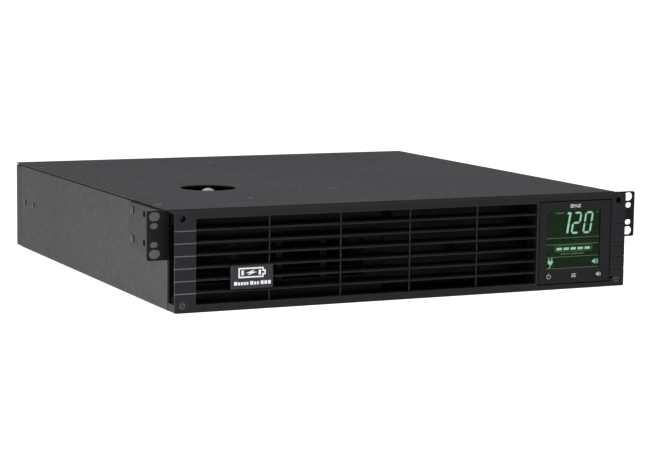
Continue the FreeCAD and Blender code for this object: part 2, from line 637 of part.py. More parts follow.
guards = []
for cx in ("fan_left_x", "fan_right_x"):
    bits = []
    for rr in (12, 20, 28, 36):
        t = fresh("Part::Torus", "wire_ring")
        t.Radius1 = rr
        t.Radius2 = 0.9
        place(t, cx, "body_depth+5.2", "fan_z", Rotation(Vector(1, 0, 0), -90))
        bits.append(t)
    for ang in (45, 135):
        o = fresh("Part::Box", "wire_bar")
        o.Length = 94
        o.Width = 1.6
        o.Height = 1.8
        half = Rotation(Vector(0, 1, 0), ang)
        o.Placement = Placement(Vector(0, 0, 0), half)
        off = half.multVec(Vector(-47, 0, -0.9))
        o.setExpression(".Placement.Base.x", E("%s+(%.5f)" % (cx, off.x)))
        o.setExpression(".Placement.Base.y", E("front_y+body_depth+5.2"))
        o.setExpression(".Placement.Base.z", E("fan_z+(%.5f)" % off.z))
        bits.append(o)
    for dx in ("-35.75", "+35.75"):
        for dz in ("-35.75", "+35.75"):
            bits.append(cut(rod("y", "4.2", cx + dx, "fan_z" + dz, "body_depth+0.1", "body_depth+6.2"),
                            [rod("y", "2.2", cx + dx, "fan_z" + dz, "body_depth", "body_depth+7")]))
    guards.append(fuse(bits))
node(together(guards), "fan_guards")
fs = []
for cx in ("fan_left_x", "fan_right_x"):
    for dx in ("-35.75", "+35.75"):
        for dz in ("-35.75", "+35.75"):
            fs.append(screw_y(cx + dx, "body_depth+6.3", "fan_z" + dz, "3.6", "1.6", "2.0", "18", 1))
node(together(fs), "fan_screws")

# ========================================================== REAR CONNECTORS
def outlet(cx, cz):
    base = fuse([box(cx + "-16.2", cx + "+16.2", "body_depth+0.1", "body_depth+2.2", cz + "-14.4", cz + "+14.4"),
                 box(cx + "-13.8", cx + "+13.8", "body_depth-22", "body_depth+0.2", cz + "-12.2", cz + "+12.2"),
                 rod("y", "12.6", cx, cz, "body_depth+2.1", "body_depth+3.4")])
    tools = [box(cx + "-7.4", cx + "-5.4", "body_depth-12", "body_depth+4", cz + "-1.2", cz + "+6.8"),
             box(cx + "+5.4", cx + "+7.4", "body_depth-12", "body_depth+4", cz + "-0.2", cz + "+6.0"),
             rod("y", "2.5", cx, cz + "-6.6", "body_depth-14", "body_depth+4")]
    return cut(base, tools)


node(together([outlet("outlet_first+%d*outlet_pitch" % c, row) for row in ("outlet_low", "outlet_high") for c in range(4)]),
     "outlets")

# power inlet: rectangular shroud with three blade pins
inlet = fuse([box("inlet_x-25", "inlet_x+25", "body_depth+0.1", "body_depth+3", "inlet_z-15", "inlet_z+15"),
              box("inlet_x-16.8", "inlet_x+16.8", "body_depth-26", "body_depth+0.2", "inlet_z-12.8", "inlet_z+12.8")])
inlet = cut(inlet, [box("inlet_x-14.6", "inlet_x+14.6", "body_depth-18", "body_depth+4", "inlet_z-10.4", "inlet_z+10.4"),
                    rod("y", "1.7", "inlet_x-22", "inlet_z", "body_depth-1", "body_depth+4"),
                    rod("y", "1.7", "inlet_x+22", "inlet_z", "body_depth-1", "body_depth+4")])
node(inlet, "power_inlet")
node(together([box("inlet_x-9.5", "inlet_x-7.5", "body_depth-18", "body_depth-1", "inlet_z-7.4", "inlet_z+0.6"),
               box("inlet_x+7.5", "inlet_x+9.5", "body_depth-18", "body_depth-1", "inlet_z-7.4", "inlet_z+0.6"),
               box("inlet_x-1", "inlet_x+1", "body_depth-18", "body_depth-1", "inlet_z-7.4", "inlet_z+0.6")]), "inlet_pins")

# circuit breakers with round collars; the reset buttons slide in them
brk = []
for bx in ("breaker_x1", "breaker_x2"):
    hull = fuse([box(bx + "-7.5", bx + "+7.5", "body_depth-34", "body_depth-1.7", "breaker_z-16", "breaker_z+16"),
                 rod("y", "5.0", bx, "breaker_z", "body_depth-1.8", "body_depth+0.2"),
                 rod("y", "7.4", bx, "breaker_z", "body_depth+0.1", "body_depth+2.6")])
    brk.append(cut(hull, [rod("y", "reset_r+0.3", bx, "breaker_z", "body_depth-12", "body_depth+5")]))
node(together(brk), "breakers")
node(rod("y", "reset_r", "breaker_x1", "breaker_z", "body_depth-8", "body_depth+3.6"), "reset_button_left")
node(rod("y", "reset_r", "breaker_x2", "breaker_z", "body_depth-8", "body_depth+3.6"), "reset_button_right")

# data ports in one column
serial_port = cut(fuse([box("ports_x-5.2", "ports_x+5.2", "body_depth-12", "body_depth+5.4", "48.3", "69.7"),
                        box("ports_x-6.2", "ports_x+6.2", "body_depth+0.1", "body_depth+0.9", "43.2", "74.8")]),
                  [rod("y", "0.7", "ports_x-1.4", "%.2f" % z5, "body_depth-4", "body_depth+6") for z5 in (53.5, 56.2, 59.0, 61.7, 64.5)] +
                  [rod("y", "0.7", "ports_x+1.4", "%.2f" % z5, "body_depth-4", "body_depth+6") for z5 in (54.9, 57.6, 60.3, 63.1)])
data_port = cut(box("ports_x-6", "ports_x+6", "body_depth-15", "body_depth+1.6", "30.2", "41.2"),
                [box("ports_x-4.2", "ports_x+4.2", "body_depth-8", "body_depth+2", "31.8", "39.6")])
data_port = fuse([data_port, box("ports_x-2.8", "ports_x+2.8", "body_depth-8.2", "body_depth+0.6", "34.2", "37.2")])
node(together([serial_port, data_port]), "data_ports")
jack = cut(box("ports_x-7.4", "ports_x+7.4", "body_depth-16", "body_depth+1.2", "9.8", "22.8"),
           [box("ports_x-5.8", "ports_x+5.8", "body_depth-12", "body_depth+2", "12", "19.4"),
            box("ports_x-3", "ports_x+3", "body_depth-12", "body_depth+2", "19", "21.6")])
node(jack, "line_jack")
stud = fuse([rod("y", "2.0", "208", "46", "body_depth-5", "body_depth+8"), rod("y", "4.6", "208", "46", "body_depth+0.1", "body_depth+1.1"),
             rod("y", "4.0", "208", "46", "body_depth+1.1", "body_depth+4.3")])
node(stud, "ground_stud")


# =================================================================== CABLES
def tube(points, radius, ratio=0.45):
    """Straight runs joined by tangent arcs; the corner radii follow the shorter neighbouring run."""
    import math
    P = [Vector(*p) for p in points]
    edges = []
    start = P[0]
    length = 0.0
    for i in range(1, len(P) - 1):
        a, c0, d = P[i - 1], P[i], P[i + 1]
        u, v = c0.sub(a), d.sub(c0)
        lu, lv = u.Length, v.Length
        u.normalize()
        v.normalize()
        turn = u.getAngle(v)
        trim = ratio * min(lu, lv)
        rad = trim / math.tan(turn / 2)
        p1, p2 = c0.sub(u * trim), c0.add(v * trim)
        bis = (v.sub(u))
        bis.normalize()
        mid = c0.add(bis * (rad / math.cos(turn / 2) - rad))
        edges.append(Part.LineSegment(start, p1).toShape())
        length += p1.sub(start).Length
        edges.append(Part.Arc(p1, mid, p2).toShape())
        length += rad * turn
        start = p2
        assert rad > radius * 1.5, "bend too tight"
    edges.append(Part.LineSegment(start, P[-1]).toShape())
    length += P[-1].sub(start).Length
    path = Part.Wire(edges)
    first = P[1].sub(P[0])
    prof = Part.Wire([Part.makeCircle(radius, P[0], first)])
    solid = path.makePipeShell([prof], True, False)
    ideal = math.pi * radius ** 2 * length
    assert abs(solid.Volume - ideal) < 0.02 * ideal, "tube volume"
    return solid


leads = [tube([(-104, 239.5, 60), (-98, 262, 62), (-70, 300, 63), (-34, 346, 62), (0, 366, 62), (40, 374, 60)], 2.4),
         tube([(-92, 236.0, 60), (-84, 258, 60), (-56, 296, 57), (-30, 352, 56), (2, 373.5, 54), (42, 376, 52)], 2.4)]
bat = [tube([(95.5, 347.6, 46), (95.5, 356, 46), (88, 368, 54), (76, 376, 62), (60, 378, 66)], 2.4),
       tube([(104.5, 347.6, 46), (104.5, 356, 46), (112, 368, 54), (124, 376, 62), (140, 378, 66)], 2.4)]
shaped(Part.makeCompound(leads + bat), "power_leads")

# ============================================================= BATTERY TRAY
b = body("battery_tray")
s = sketch(b, "XZ", "tray_front+1.3")
poly(s, [("divider_x+6.2", "2.4"), ("215.4", "2.4"), ("215.4", "30"), ("214.2", "30"), ("214.2", "3.6"),
         ("divider_x+7.4", "3.6"), ("divider_x+7.4", "30"), ("divider_x+6.2", "30")])
pad(b, s, "tray_back-tray_front-1.3")
s = sketch(b, "XZ", "tray_back-1.2")
rect(s, "divider_x+6.2", "215.4", "2.4", "70")
rect(s, "91", "109", "22", "62")
pad(b, s, "1.2")
node(b, "battery_tray")
front = box("divider_x+3", "217.8", "tray_front", "tray_front+1.2", "2.4", "81")
front = cut(rounded(front, 2.0, lambda e: along(e, "y")),
            [rod("y", "5.2", "167.5", "73.6", "tray_front-1", "tray_front+3"),
             rod("y", "2.2", "-10", "72", "tray_front-1", "tray_front+3"), rod("y", "2.2", "210", "72", "tray_front-1", "tray_front+3")])
node(front, "battery_retainer")
node(together([screw_y("-10", "tray_front", "72", "4.6", "3.0", "2.0", "6"), screw_y("210", "tray_front", "72", "4.6", "3.0", "2.0", "6")]),
     "retainer_screws")
grip = fuse([box("54", "106", "tray_front-10", "tray_front-6.5", "37", "47"),
             box("54", "58", "tray_front-6.6", "tray_front-0.1", "37", "47"),
             box("102", "106", "tray_front-6.6", "tray_front-0.1", "37", "47")])
node(rounded(grip, 1.2, lambda e: along(e, "x") and e.Length > 40), "tray_handle")

BX = (("divider_x+8", "divider_x+8+cell_wide"), ("213.6-cell_wide", "213.6"))
BY = (("tray_front+2", "tray_front+2+cell_long"), ("tray_front+2.6+cell_long", "tray_front+2.6+2*cell_long"))
for xi, (bx0, bx1) in enumerate(BX):
    pair = []
    for yi, (by0, by1) in enumerate(BY):
        cell = box(bx0, bx1, by0, by1, "3.8", "3.8+cell_tall")
        pair.append(rounded(cell, 2.0, lambda e: along(e, "z") or along(e, "x") or along(e, "y")))
    node(together(pair), ("batteries_left", "batteries_right")[xi])
tabs = []
for yi, (by0, by1) in enumerate(BY):
    for dy in ("12", "cell_long-18"):
        tabs.append(box(BX[0][1] + "+0.1", BX[0][1] + "+5.1", "%s+%s" % (by0, dy), "%s+%s+6.3" % (by0, dy), "58", "58.8"))
        tabs.append(box(BX[1][0] + "-5.1", BX[1][0] + "-0.1", "%s+%s" % (by0, dy), "%s+%s+6.3" % (by0, dy), "58", "58.8"))
node(together(tabs), "battery_terminals")
xl, xr = V(BX[0][1]) + 3.2, V(BX[1][0]) - 3.2
yt = [V(BY[0][0]) + 15, V(BY[0][0]) + V("cell_long") - 15, V(BY[1][0]) + 15, V(BY[1][0]) + V("cell_long") - 15]
links = [tube([(xl, yt[1] + 1.5, 61.4), (xl + 2.5, yt[1] + 9, 61.4), (xl + 2.5, yt[2] - 9, 61.4), (xl, yt[2] - 1.5, 61.4)], 2.0),
         tube([(xr, yt[1] + 1.5, 61.4), (xr - 2.5, yt[1] + 9, 61.4), (xr - 2.5, yt[2] - 9, 61.4), (xr, yt[2] - 1.5, 61.4)], 2.0),
         tube([(xl, yt[0], 61.4), (xl + 6, yt[0] - 1, 61.4), (xr - 6, yt[0] + 1, 61.4), (xr, yt[0], 61.4)], 2.0)]
shaped(Part.makeCompound(links), "battery_links")
# moving half of the rear connector, which leaves the fixed half straight forwards
plug = cut(box("91.4", "108.6", "tray_back-13", "tray_back+4.6", "22.4", "61.6"),
           [box("94", "98", "tray_back-4", "tray_back+5", "26", "58"), box("102", "106", "tray_back-4", "tray_back+5", "26", "58")])
node(plug, "battery_plug")
socket = cut(box("91.4", "108.6", "bay_depth", "bay_depth+2.4", "22.4", "61.6"), [rod("y", "1", "100", "42", "bay_depth-1", "bay_depth+4")])
pins = [box("94.8", "97.2", "tray_back-1.5", "bay_depth+0.1", "30", "54"), box("102.8", "105.2", "tray_back-1.5", "bay_depth+0.1", "30", "54")]
node(fuse([socket] + pins), "battery_socket")
# display lead: carried by the tray from the plug behind the display to the rear connector
lead = tube([(167.5, 23.0, 40.0), (167.5, 24.2, 52.0), (167.5, 23.6, 66.0), (167.5, 38.0, 75.4), (166.0, 66.0, 76.0), (128.0, 116.0, 75.6),
             (100.0, 168.0, 76.0), (99.4, 222.0, 75.6), (100.4, 276.0, 75.0), (100.0, 316.0, 66.0), (100.0, 322.0, 52.0)], 1.7)
head = Part.makeBox(11.0, 6.0, 8.0, Vector(162.0, 17.9, 32.2))
shaped(lead.fuse(head), "display_cable")

# =================================================================== BEZEL
b = body("bezel_frame")
s = sketch(b, "XZ", "0")
rect(s, "-" + w, w, "bezel_low", "bezel_high")
rect(s, "grille_left", "grille_right", "grille_low", "grille_high")
rect(s, "module_left-1", "module_right+1", "module_low-1", "module_high+1")
pad(b, s, "bezel_plate")
s = sketch(b, "XZ", "bezel_plate")
poly(s, [("-" + w, "bezel_low"), (w, "bezel_low"), (w, "8"), ("211", "8"), ("211", "79"), (w, "79"), (w, "bezel_high"),
         ("-" + w, "bezel_high"), ("-" + w, "79"), ("-209", "79"), ("-209", "8"), ("-" + w, "8")])
rect(s, "-206.6", "grille_right", "grille_low", "grille_high")
rect(s, "module_left-1", "module_right+1", "module_low-1", "module_high+1")
pad(b, s, "bezel_depth-bezel_plate-0.2")
# screw bosses
s = sketch(b, "XZ", "bezel_plate")
for sx in ("-", ""):
    for zz in ("bezel_screw_up", "bezel_screw_down"):
        lo, hi = (zz + "-6", "bezel_high") if zz == "bezel_screw_up" else ("bezel_low", zz + "+6")
        if sx == "-":
            rect(s, "-" + w, "-208.8", lo, hi)
        else:
            rect(s, "210.8", w, lo, hi)
pad(b, s, "bezel_depth-bezel_plate-0.2")
# horizontal grooves across both end columns, in line with the louvre blades
# (each has a flat roof and a lower lip that slopes out and down)
GROOVE = [("-0.4", "blade_first+0.5"), ("0.6", "blade_first+0.5"), ("0.6", "blade_first+0.1"), ("-0.4", "blade_first-0.9")]
s = sketch(b, "YZ", "grille_left+0.5")
poly(s, GROOVE)
g1 = pocket(b, s, "20", False)
repeat(b, g1, s, "V_Axis", "blade_pitch", "blade_count")
s = sketch(b, "YZ", w + "+1")
poly(s, GROOVE)
g2 = pocket(b, s, w + "+1-module_right-0.9", False)
repeat(b, g2, s, "V_Axis", "blade_pitch", "blade_count")
# counterbored screw holes inside shallow round seats: deep in the upper corners, shallow in the lower
s = sketch(b, "XZ", "0")
for sx in ("-", ""):
    for zz in ("bezel_screw_up", "bezel_screw_down"):
        ring(s, sx + "bezel_screw_x", zz, "4.6")
pocket(b, s, "0.7", False)
s = sketch(b, "XZ", "0")
for sx in ("-", ""):
    ring(s, sx + "bezel_screw_x", "bezel_screw_up", "2.9")
pocket(b, s, "8", False)
s = sketch(b, "XZ", "0")
for sx in ("-", ""):
    ring(s, sx + "bezel_screw_x", "bezel_screw_down", "3.3")
pocket(b, s, "3.2", False)
s = sketch(b, "XZ", "0")
for sx in ("-", ""):
    for zz in ("bezel_screw_up", "bezel_screw_down"):
        ring(s, sx + "bezel_screw_x", zz, "1.8")
pocket(b, s)
soften(b, "bezel_round", 1.2, lambda e: along(e, "y") and abs(abs(e.BoundBox.XMax) - 222) < 0.01 and
       (e.BoundBox.ZMax < 0.4 or e.BoundBox.ZMin > 85.6))
# the rear edge of both ends is stepped back a little where it passes between the rack ears
s = sketch(b, "XZ", "ear_plane-0.5")
rect(s, w + "-0.4", w + "+1", "-1", "body_height+1")
rect(s, "-" + w + "-1", "-" + w + "+0.4", "-1", "body_height+1")
pocket(b, s, "3", False)
# finger recess on the left reaches from the foot of the column almost to its top, behind a thin front plate
s = sketch(b, "XZ", "1.4")
rect(s, "-" + w + "-1", "-" + w + "+3.2", "7.4", "bezel_high-1.5")
pocket(b, s, "bezel_depth", False)
# pry notch beside the display's lower right corner
s = sketch(b, "XZ", "0")
rect(s, "module_right+0.8", "module_right+4", "7.6", "9.8")
pocket(b, s, "2.4", False)
node(b, "bezel_frame")

# louvre grille: six sloped blades crossed by four thin ribs
b = body("louvre_grille")
s = sketch(b, "YZ", "grille_left+0.2")
poly(s, [("0.7", "blade_first-blade_thick/2"), ("1.0", "blade_first+blade_thick/2"), ("16.2", "blade_first+blade_thick/2+1.5"),
         ("16.2", "blade_first-blade_thick/2+1.5")])
pb = pad(b, s, "grille_right-grille_left-0.4", False)
repeat(b, pb, s, "V_Axis", "blade_pitch", "blade_count")
s = sketch(b, "XZ", "2.2")
rect(s, "rib_first-0.45", "rib_first+0.45", "grille_low+0.2", "grille_high-0.2")
pr = pad(b, s, "1.6")
repeat(b, pr, s, "H_Axis", "rib_pitch", "rib_count")
s = sketch(b, "XZ", "9")
rect(s, "grille_left+0.2", "grille_left+1.4", "grille_low+0.2", "grille_high-0.2")
rect(s, "grille_right-1.4", "grille_right-0.2", "grille_low+0.2", "grille_high-0.2")
pad(b, s, "5")
node(b, "louvre_grille")

# blank plate clipped over the louvres, and the bezel's screws
plate = box("-171.9", "-132.8", "-1.2", "0.6", "18.2", "38.8")
node(rounded(plate, 0.6, lambda e: along(e, "y")), "nameplate")
node(together([screw_y("-bezel_screw_x", "8", "bezel_screw_up", "2.6", "2.2", "1.6", "12"),
               screw_y("bezel_screw_x", "8", "bezel_screw_up", "2.6", "2.2", "1.6", "12"),
               screw_y("-bezel_screw_x", "3.2", "bezel_screw_down", "3.0", "2.2", "1.6", "16"),
               screw_y("bezel_screw_x", "3.2", "bezel_screw_down", "3.0", "2.2", "1.6", "16")]), "bezel_screws")

# ========================================================== DISPLAY MODULE
b = body("display_housing")
s = sketch(b, "XZ", "0.2")
rect(s, "module_left", "module_right", "module_low", "module_high")
pad(b, s, "15.8")
s = sketch(b, "XZ", "2.4")
rect(s, "module_left+1.8", "module_right-1.8", "module_low+1.8", "module_high-1.8")
pocket(b, s, "20", False)
s = sketch(b, "XZ", "0.2")
rect(s, "window_left", "window_right", "window_low", "window_high")
pocket(b, s)
s = sketch(b, "XZ", "0.2")
for bx in ("power_x", "mode_x", "mute_x"):
    ring(s, bx, "button_z", "button_r+0.3")
pocket(b, s)
soften(b, "module_round", 0.9, lambda e: along(e, "y") and e.BoundBox.YLength > 10 and
       (abs(e.BoundBox.XMax - 131) < 0.01 or abs(e.BoundBox.XMax - 206) < 0.01))
node(b, "display_housing")
node(box("window_left+0.1", "window_right-0.1", "0.6", "2.2", "window_low+0.1", "window_high-0.1"), "display_window")
node(box("window_left-1.6", "window_right+1.6", "2.6", "5.6", "window_low-1.0", "window_high+1.6"), "lcd_panel")
node(box("module_left+2.1", "module_right-2.1", "7.0", "8.6", "module_low+2.1", "module_high-2.1"), "display_board")
skt = cut(box("159.5", "175.5", "8.7", "15.8", "29.4", "43"), [box("161.6", "173.4", "11.5", "16.4", "31.8", "40.6")])
node(skt, "display_socket")
for bx, nm in (("power_x", "power_button"), ("mode_x", "mode_button"), ("mute_x", "mute_button")):
    cap = fuse([rod("y", "button_r", bx, "button_z", "0.1", "5.8"), rod("y", "button_r+0.9", bx, "button_z", "2.7", "3.5")])
    node(cap, nm)

# ==================================================================== OUTPUT
doc.recompute()
bad = []
for o in doc.Objects:
    if any(k in o.State for k in ("Invalid", "Error")):
        bad.append("%s (%s): %s" % (o.Name, o.TypeId, o.State))
for o, label in NODES:
    sh = o.Shape
    if sh.isNull() or not sh.isValid() or not sh.Solids:
        bad.append("%s: null, invalid or empty shape" % label)
if bad:
    raise RuntimeError("\n".join(bad))
labels = [l for _, l in NODES]
assert len(set(labels)) == len(labels) and len(labels) <= 60, len(labels)
os.makedirs("parts", exist_ok=True)
for o, label in NODES:
    o.Shape.exportStep("parts/%s.step" % label)
    bb = o.Shape.BoundBox
    print("%-22s solids %3d  x %7.1f %7.1f  y %7.1f %7.1f  z %5.1f %5.1f" %
          (label, len(o.Shape.Solids), bb.XMin, bb.XMax, bb.YMin, bb.YMax, bb.ZMin, bb.ZMax))
print(len(NODES), "nodes")
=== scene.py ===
import bpy
import bmesh
import json
import math
from mathutils import Vector, Matrix, Euler


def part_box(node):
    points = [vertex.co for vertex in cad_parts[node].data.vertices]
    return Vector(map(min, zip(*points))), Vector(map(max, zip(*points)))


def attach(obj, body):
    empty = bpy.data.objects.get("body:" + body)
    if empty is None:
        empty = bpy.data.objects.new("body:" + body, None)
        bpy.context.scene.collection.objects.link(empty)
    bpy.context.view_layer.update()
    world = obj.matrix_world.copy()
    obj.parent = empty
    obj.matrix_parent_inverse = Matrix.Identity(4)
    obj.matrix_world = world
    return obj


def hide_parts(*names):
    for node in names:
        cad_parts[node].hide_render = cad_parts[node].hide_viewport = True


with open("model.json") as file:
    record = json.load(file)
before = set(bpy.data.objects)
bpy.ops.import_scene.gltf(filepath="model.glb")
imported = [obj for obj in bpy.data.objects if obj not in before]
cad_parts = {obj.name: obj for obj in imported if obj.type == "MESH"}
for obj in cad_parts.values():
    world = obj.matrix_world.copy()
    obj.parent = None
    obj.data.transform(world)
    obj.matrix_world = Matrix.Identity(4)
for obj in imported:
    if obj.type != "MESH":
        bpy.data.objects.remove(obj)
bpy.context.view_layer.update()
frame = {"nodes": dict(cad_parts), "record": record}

NODES = frame["nodes"]
MM = 0.001
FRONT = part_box("bezel_frame")[0][1]           # front face of the bezel, row frame


def Y(depth):
    """Row-frame y of a depth in millimetres behind the bezel's front face."""
    return FRONT + depth * MM


scene = bpy.context.scene
scene.view_settings.view_transform = "Standard"
scene.view_settings.look = "None"
scene.view_settings.exposure = 0.0
scene.view_settings.gamma = 1.0

# ------------------------------------------------------------------ materials


class Net:
    """Small helper around one material's node tree."""

    def __init__(self, name):
        self.mat = bpy.data.materials.new(name)
        self.mat.use_nodes = True
        self.t = self.mat.node_tree
        self.t.nodes.clear()
        self.out = self.n("ShaderNodeOutputMaterial")
        self.b = self.n("ShaderNodeBsdfPrincipled")
        self.t.links.new(self.b.outputs["BSDF"], self.out.inputs["Surface"])
        self.pos = self.n("ShaderNodeTexCoord").outputs["Object"]

    def n(self, kind, **props):
        node = self.t.nodes.new(kind)
        for k, v in props.items():
            setattr(node, k, v)
        return node

    def link(self, a, b):
        self.t.links.new(a, b)

    def scaled(self, xyz):
        m = self.n("ShaderNodeMapping")
        m.inputs["Scale"].default_value = xyz
        self.link(self.pos, m.inputs["Vector"])
        return m.outputs["Vector"]

    def noise(self, scale, detail=3.0, rough=0.55, vec=None, dist=0.0):
        k = self.n("ShaderNodeTexNoise")
        k.inputs["Scale"].default_value = scale
        k.inputs["Detail"].default_value = detail
        k.inputs["Roughness"].default_value = rough
        k.inputs["Distortion"].default_value = dist
        self.link(vec or self.pos, k.inputs["Vector"])
        return k.outputs["Fac"]

    def ramp(self, src, lo, hi, a=0.0, b=1.0):
        r = self.n("ShaderNodeMapRange")
        r.clamp = True
        r.inputs["From Min"].default_value = lo
        r.inputs["From Max"].default_value = hi
        r.inputs["To Min"].default_value = a
        r.inputs["To Max"].default_value = b
        self.link(src, r.inputs["Value"])
        return r.outputs["Result"]

    def math(self, op, a, b=None):
        m = self.n("ShaderNodeMath", operation=op)
        for i, v in enumerate((a, b)):
            if v is None:
                continue
            if isinstance(v, (int, float)):
                m.inputs[i].default_value = v
            else:
                self.link(v, m.inputs[i])
        return m.outputs[0]

    def mix(self, fac, a, b):
        m = self.n("ShaderNodeMix", data_type="RGBA")
        if isinstance(fac, (int, float)):
            m.inputs[0].default_value = fac
        else:
            self.link(fac, m.inputs[0])
        for sock, v in ((m.inputs[6], a), (m.inputs[7], b)):
            if isinstance(v, (tuple, list)):
                sock.default_value = (*v[:3], 1.0)
            else:
                self.link(v, sock)
        return m.outputs[2]

    def edge(self, radius=0.0007, lo=0.015, hi=0.22):
        """Mask that is 1 on the rounded edges, and the rounded normal itself."""
        bev = self.n("ShaderNodeBevel")
        bev.samples = 4
        bev.inputs["Radius"].default_value = radius
        geo = self.n("ShaderNodeNewGeometry")
        dot = self.n("ShaderNodeVectorMath", operation="DOT_PRODUCT")
        self.link(bev.outputs["Normal"], dot.inputs[0])
        self.link(geo.outputs["Normal"], dot.inputs[1])
        away = self.math("SUBTRACT", 1.0, dot.outputs["Value"])
        return self.ramp(away, lo, hi), bev.outputs["Normal"]

    def crevice_shade(self, reach=0.012, lo=0.25, hi=0.85, local=True):
        """1 on open surfaces, falling to 0 in recesses: the mask for painted shade in the recesses."""
        ao = self.n("ShaderNodeAmbientOcclusion")
        ao.samples = 6
        ao.only_local = local
        ao.inputs["Distance"].default_value = reach
        return self.ramp(ao.outputs["AO"], lo, hi)

    def inside(self, axis, lo, hi, flip=False):
        """1 between two coordinates (in metres) of one axis."""
        sep = self.n("ShaderNodeSeparateXYZ")
        self.link(self.pos, sep.inputs["Vector"])
        v = sep.outputs[axis]
        if flip:
            v = self.math("ABSOLUTE", v)
        a = self.ramp(v, lo - 0.0002, lo + 0.0002)
        b = self.ramp(v, hi - 0.0002, hi + 0.0002, 1.0, 0.0)
        return self.math("MULTIPLY", a, b)

    def bump(self, height, strength, distance, normal=None):
        k = self.n("ShaderNodeBump")
        k.inputs["Strength"].default_value = strength
        k.inputs["Distance"].default_value = distance
        self.link(height, k.inputs["Height"])
        if normal is not None:
            self.link(normal, k.inputs["Normal"])
        return k.outputs["Normal"]

    def done(self, color=None, rough=None, normal=None, metal=None, spec=None, coat=None, coat_rough=None, crevice_shade=None):
        if crevice_shade is not None:
            # painted shade: the colour falls to near-black in recesses
            open_ = self.crevice_shade(abs(crevice_shade), *((0.5, 1.0) if abs(crevice_shade) > 0.03 else (0.25, 0.85)), local=crevice_shade > 0)
            color = self.mix(open_, (0.0008, 0.0008, 0.0008), color)
        if color is not None:
            self.link(color, self.b.inputs["Base Color"])
        if rough is not None:
            self.link(rough, self.b.inputs["Roughness"])
        if normal is not None:
            self.link(normal, self.b.inputs["Normal"])
        if metal is not None:
            self.b.inputs["Metallic"].default_value = metal
        if spec is not None:
            self.b.inputs["Specular IOR Level"].default_value = spec
        if coat is not None:
            self.b.inputs["Coat Weight"].default_value = coat
            self.b.inputs["Coat Roughness"].default_value = coat_rough or 0.2
        return self.mat


def powder(name, base, edge_wear_and_highlight, rough=0.5, spec=0.45, grain=1500, edge_amount=0.5, relief=0.00006, crevice_shade=None, plate=None, wrap=False):
    """Fine-textured powder coat: pebbled relief, slight mottling, paler where handling polished the edges."""
    m = Net(name)
    fine = m.noise(grain, 2.0, 0.5)
    mid = m.noise(grain / 6.0, 3.0, 0.6)
    broad = m.noise(7.0, 2.0, 0.5)
    tone = m.math("ADD", m.ramp(broad, 0.3, 0.7, -0.10, 0.10), m.ramp(fine, 0.3, 0.7, -0.16, 0.16))
    tone = m.math("ADD", tone, 0.5)
    dark = tuple(c * 0.70 for c in base)
    light = tuple(min(1.0, c * 1.32) for c in base)
    col = m.mix(tone, dark, light)
    mask, nrm = m.edge(0.0006)
    scuff = m.math("MULTIPLY", mask, m.ramp(mid, 0.40, 0.66, 0.25, 1.0))
    scuff = m.math("MULTIPLY", scuff, edge_amount)
    col = m.mix(scuff, col, edge_wear_and_highlight)
    if wrap:
        # darker flanges of the rear panel; why they are darker isn't known
        col = m.mix(m.math("MULTIPLY", m.inside("Y", Y(441.5), Y(470.0)), 0.42), col, tuple(c * 0.25 for c in base))
    if plate is not None:
        # the ears' side plates share the case's lighter coat
        side = m.mix(tone, tuple(c * 0.70 for c in plate), tuple(c * 1.32 for c in plate))
        col = m.mix(m.math("MULTIPLY", m.inside("X", 0.2217, 0.2245, True), m.inside("Y", Y(17.0), Y(200.0))), col, side)
        # near-black battery retainer behind the louvres, in place of its missing light
        col = m.mix(m.math("MULTIPLY", m.inside("X", -0.2205, 0.2205), m.inside("Y", Y(28.5), Y(32.5))), col, (0.0015, 0.0015, 0.0016))
        # near-black inner panel behind the finger recesses, likewise
        col = m.mix(m.math("MULTIPLY", m.inside("X", 0.2070, 0.2212, True), m.inside("Y", Y(17.0), Y(19.4))), col, (0.0012, 0.0012, 0.0013))
    rg = m.math("ADD", m.ramp(mid, 0.3, 0.7, rough - 0.05, rough + 0.06), m.ramp(broad, 0.3, 0.7, -0.03, 0.03))
    return m.done(col, rg, m.bump(fine, 0.55, relief, nrm), spec=spec, crevice_shade=crevice_shade)


